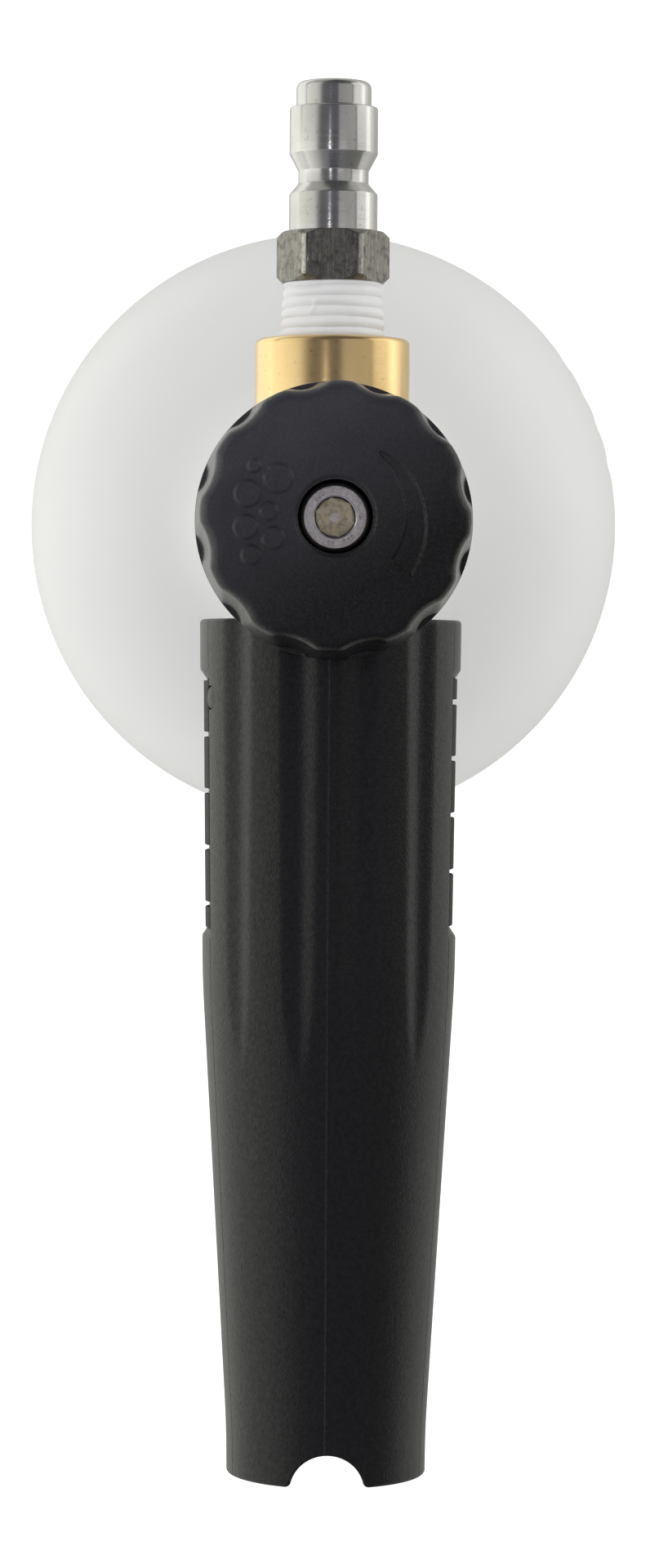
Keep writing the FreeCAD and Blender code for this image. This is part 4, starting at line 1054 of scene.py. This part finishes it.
def make_floor():
    """Pale floor. Reflections find it dim, and aglow at the sides."""
    half, pale, dim, glow_in_view = 4000.0, (0.86, 0.86, 0.86), (0.5, 0.5, 0.46), 0.45
    corners = [(x * half, y * half, -0.2 - axis_z) for x, y in ((-1, -1), (1, -1), (1, 1), (-1, 1))]
    floor = mesh_object("floor", corners, [(0, 1, 2, 3)])
    nodes = blank("pale_floor")
    seen = nodes.add("LightPath").outputs
    parts = nodes.add("SeparateXYZ", {0: nodes.add("TexCoord").outputs["Object"]}).outputs
    to_left = nodes.stretch(parts["Y"], (-0.06, -0.2), (0.05, 0.72))
    to_right = nodes.stretch(parts["Y"], (0.2, 0.5), (0, 0.4))
    before_plug = nodes.stretch(parts["X"], (-0.7, -0.42), (0.1, 1))
    before_mouth = nodes.stretch(parts["X"], (0.03, 0.12), (1, 0.62))
    beside = nodes.math("ADD", to_left, to_right)
    reach = nodes.math("MULTIPLY", before_plug, before_mouth)
    in_metal = nodes.math("MULTIPLY", seen["Is Glossy Ray"], nodes.math("MULTIPLY", beside, reach))
    in_view = nodes.math("MULTIPLY", seen["Is Camera Ray"], glow_in_view)
    glow = nodes.add("Emission", {
        "Color": nodes.mix(seen["Is Glossy Ray"], (1, 1, 1), (1, 1, 0.92)),
        "Strength": nodes.math("ADD", in_metal, in_view),
    })
    nodes.feed(nodes.shader, {"Roughness": 0.9, "Base Color": nodes.mix(seen["Is Glossy Ray"], pale, dim)})
    both = nodes.add("AddShader", {0: nodes.shader.outputs[0], 1: glow.outputs[0]})
    nodes.feed(nodes.tree.nodes["Material Output"], {"Surface": both.outputs[0]})
    wear(floor, "pale_floor")


# Light that reflections find round the spray axis, by degrees from straight up towards +Y
level_turns = (-180, -150, -130, -109, -92, -78, -65, -56, -48, -41, -34, 0, 28, 49, 71, 98, 135, 180)
plug_side_levels = (
    0.5, 0.9, 1.2, 1.28, 1.1, 0.92, 0.84, 0.78, 0.64, 0.34, 0.15, 0.12, 0.12, 0.17, 0.24, 0.33, 0.31, 0.5)
mouth_side_levels = (
    0.45, 0.62, 0.9, 1.22, 1.14, 0.95, 0.82, 0.72, 0.58, 0.42, 0.34, 0.28, 0.26, 0.21, 0.21, 0.24, 0.23,
    0.4)


def level_ramp(nodes, share, levels):
    """Light by direction round the axis: cooler overhead and warmer at the sides."""
    ramp = nodes.add("ValToRGB", {"Fac": share})
    elements = ramp.color_ramp.elements
    while len(elements) < len(levels):
        elements.new(0.5)
    for element, degrees, level in zip(elements, level_turns, levels):
        element.position = (degrees + 180) / 360
        high = max(0.0, 1 - abs(degrees) / 60)
        element.color = (level, level * (1.01 - 0.04 * high), level * (0.89 + 0.25 * high), 1)
    return ramp.outputs["Color"]


def studio_background(nodes):
    """Soft boxes to the left and right under a dark ceiling, by direction."""
    end_color = (0.06, 0.06, 0.06)
    source = nodes.add("TexCoord").outputs["Generated"]
    parts = nodes.add("SeparateXYZ", {0: source}).outputs
    turn = nodes.stretch(nodes.math("ARCTAN2", parts["Y"], parts["Z"]), (-pi, pi))
    ramps = (level_ramp(nodes, turn, levels) for levels in (plug_side_levels, mouth_side_levels))
    sides = nodes.mix(nodes.stretch(parts["X"], (0.01, 0.13)), *ramps)
    near_end = nodes.stretch(nodes.math("ABSOLUTE", parts["X"]), (0.55, 0.85), (0, 0.62))
    under_camera = nodes.stretch(nodes.math("ARCCOSINE", parts["Z"]), (0.02, 0.12), (0.25, 1))
    inputs = {"Color": nodes.mix(near_end, sides, end_color), "Strength": under_camera}
    return nodes.add("Background", inputs)


def make_world():
    """Even light for surfaces, white to the camera, and a studio for reflections."""
    world = bpy.data.worlds.new("studio")
    bpy.context.scene.world = world
    world.use_nodes = True
    world.node_tree.nodes.clear()
    nodes = Nodes(world.node_tree)
    even_light = nodes.add("Background", {"Color": (1, 1, 1, 1), "Strength": 0.88})
    white = nodes.add("Background", {"Color": (1, 1, 1, 1)})
    seen = nodes.add("LightPath").outputs
    lit = nodes.mix_shaders(seen["Is Glossy Ray"], even_light, studio_background(nodes))
    clear = nodes.math("MAXIMUM", seen["Is Camera Ray"], seen["Is Transmission Ray"])
    nodes.add("OutputWorld", {"Surface": nodes.mix_shaders(clear, lit, white).outputs[0]})


def make_camera():
    """Camera over the cannon, with the mouth at the bottom of the picture."""
    eye, turn = Vector((24.3, -8.6, axis_z + 620.0)) * mm, radians(90.36)
    data = bpy.data.cameras.new("camera")
    data.sensor_fit = "VERTICAL"
    data.sensor_height = 36.0
    data.lens = 105.8
    data.shift_x, data.shift_y = 71.7 / 1920, -123 / 1920
    camera = new_object("camera", data)
    camera.matrix_world = Matrix.Translation(eye) @ Matrix.Rotation(turn, 4, "Z")
    bpy.context.scene.camera = camera


make_floor()
make_world()
soft_box("lamp_left", (20, -950, 240), (460, 1100), 2.4, reflected=False)
soft_box("lamp_beside", (5, -700, 390), (200, 950), 0.25)
soft_box("lamp_right", (-420, 700, 250), (700, 700), 1.08)
soft_box("lamp_mouth", (950, 0, 330), (400, 700), 0.5, reflected=False, aim_x=60)
soft_box("lamp_over", (-270, 485, 920), (620, 690), 0.36)
soft_box("panel_over", (-60, 275, 900), (60, 260), 0.02)
soft_box("strip_near", (-56, -130, 940), (60, 40), 0.06)
soft_box("strip_far", (-190, -128, 940), (80, 42), 0.008)
make_camera()
bpy.context.scene.view_settings.view_transform = "Standard"
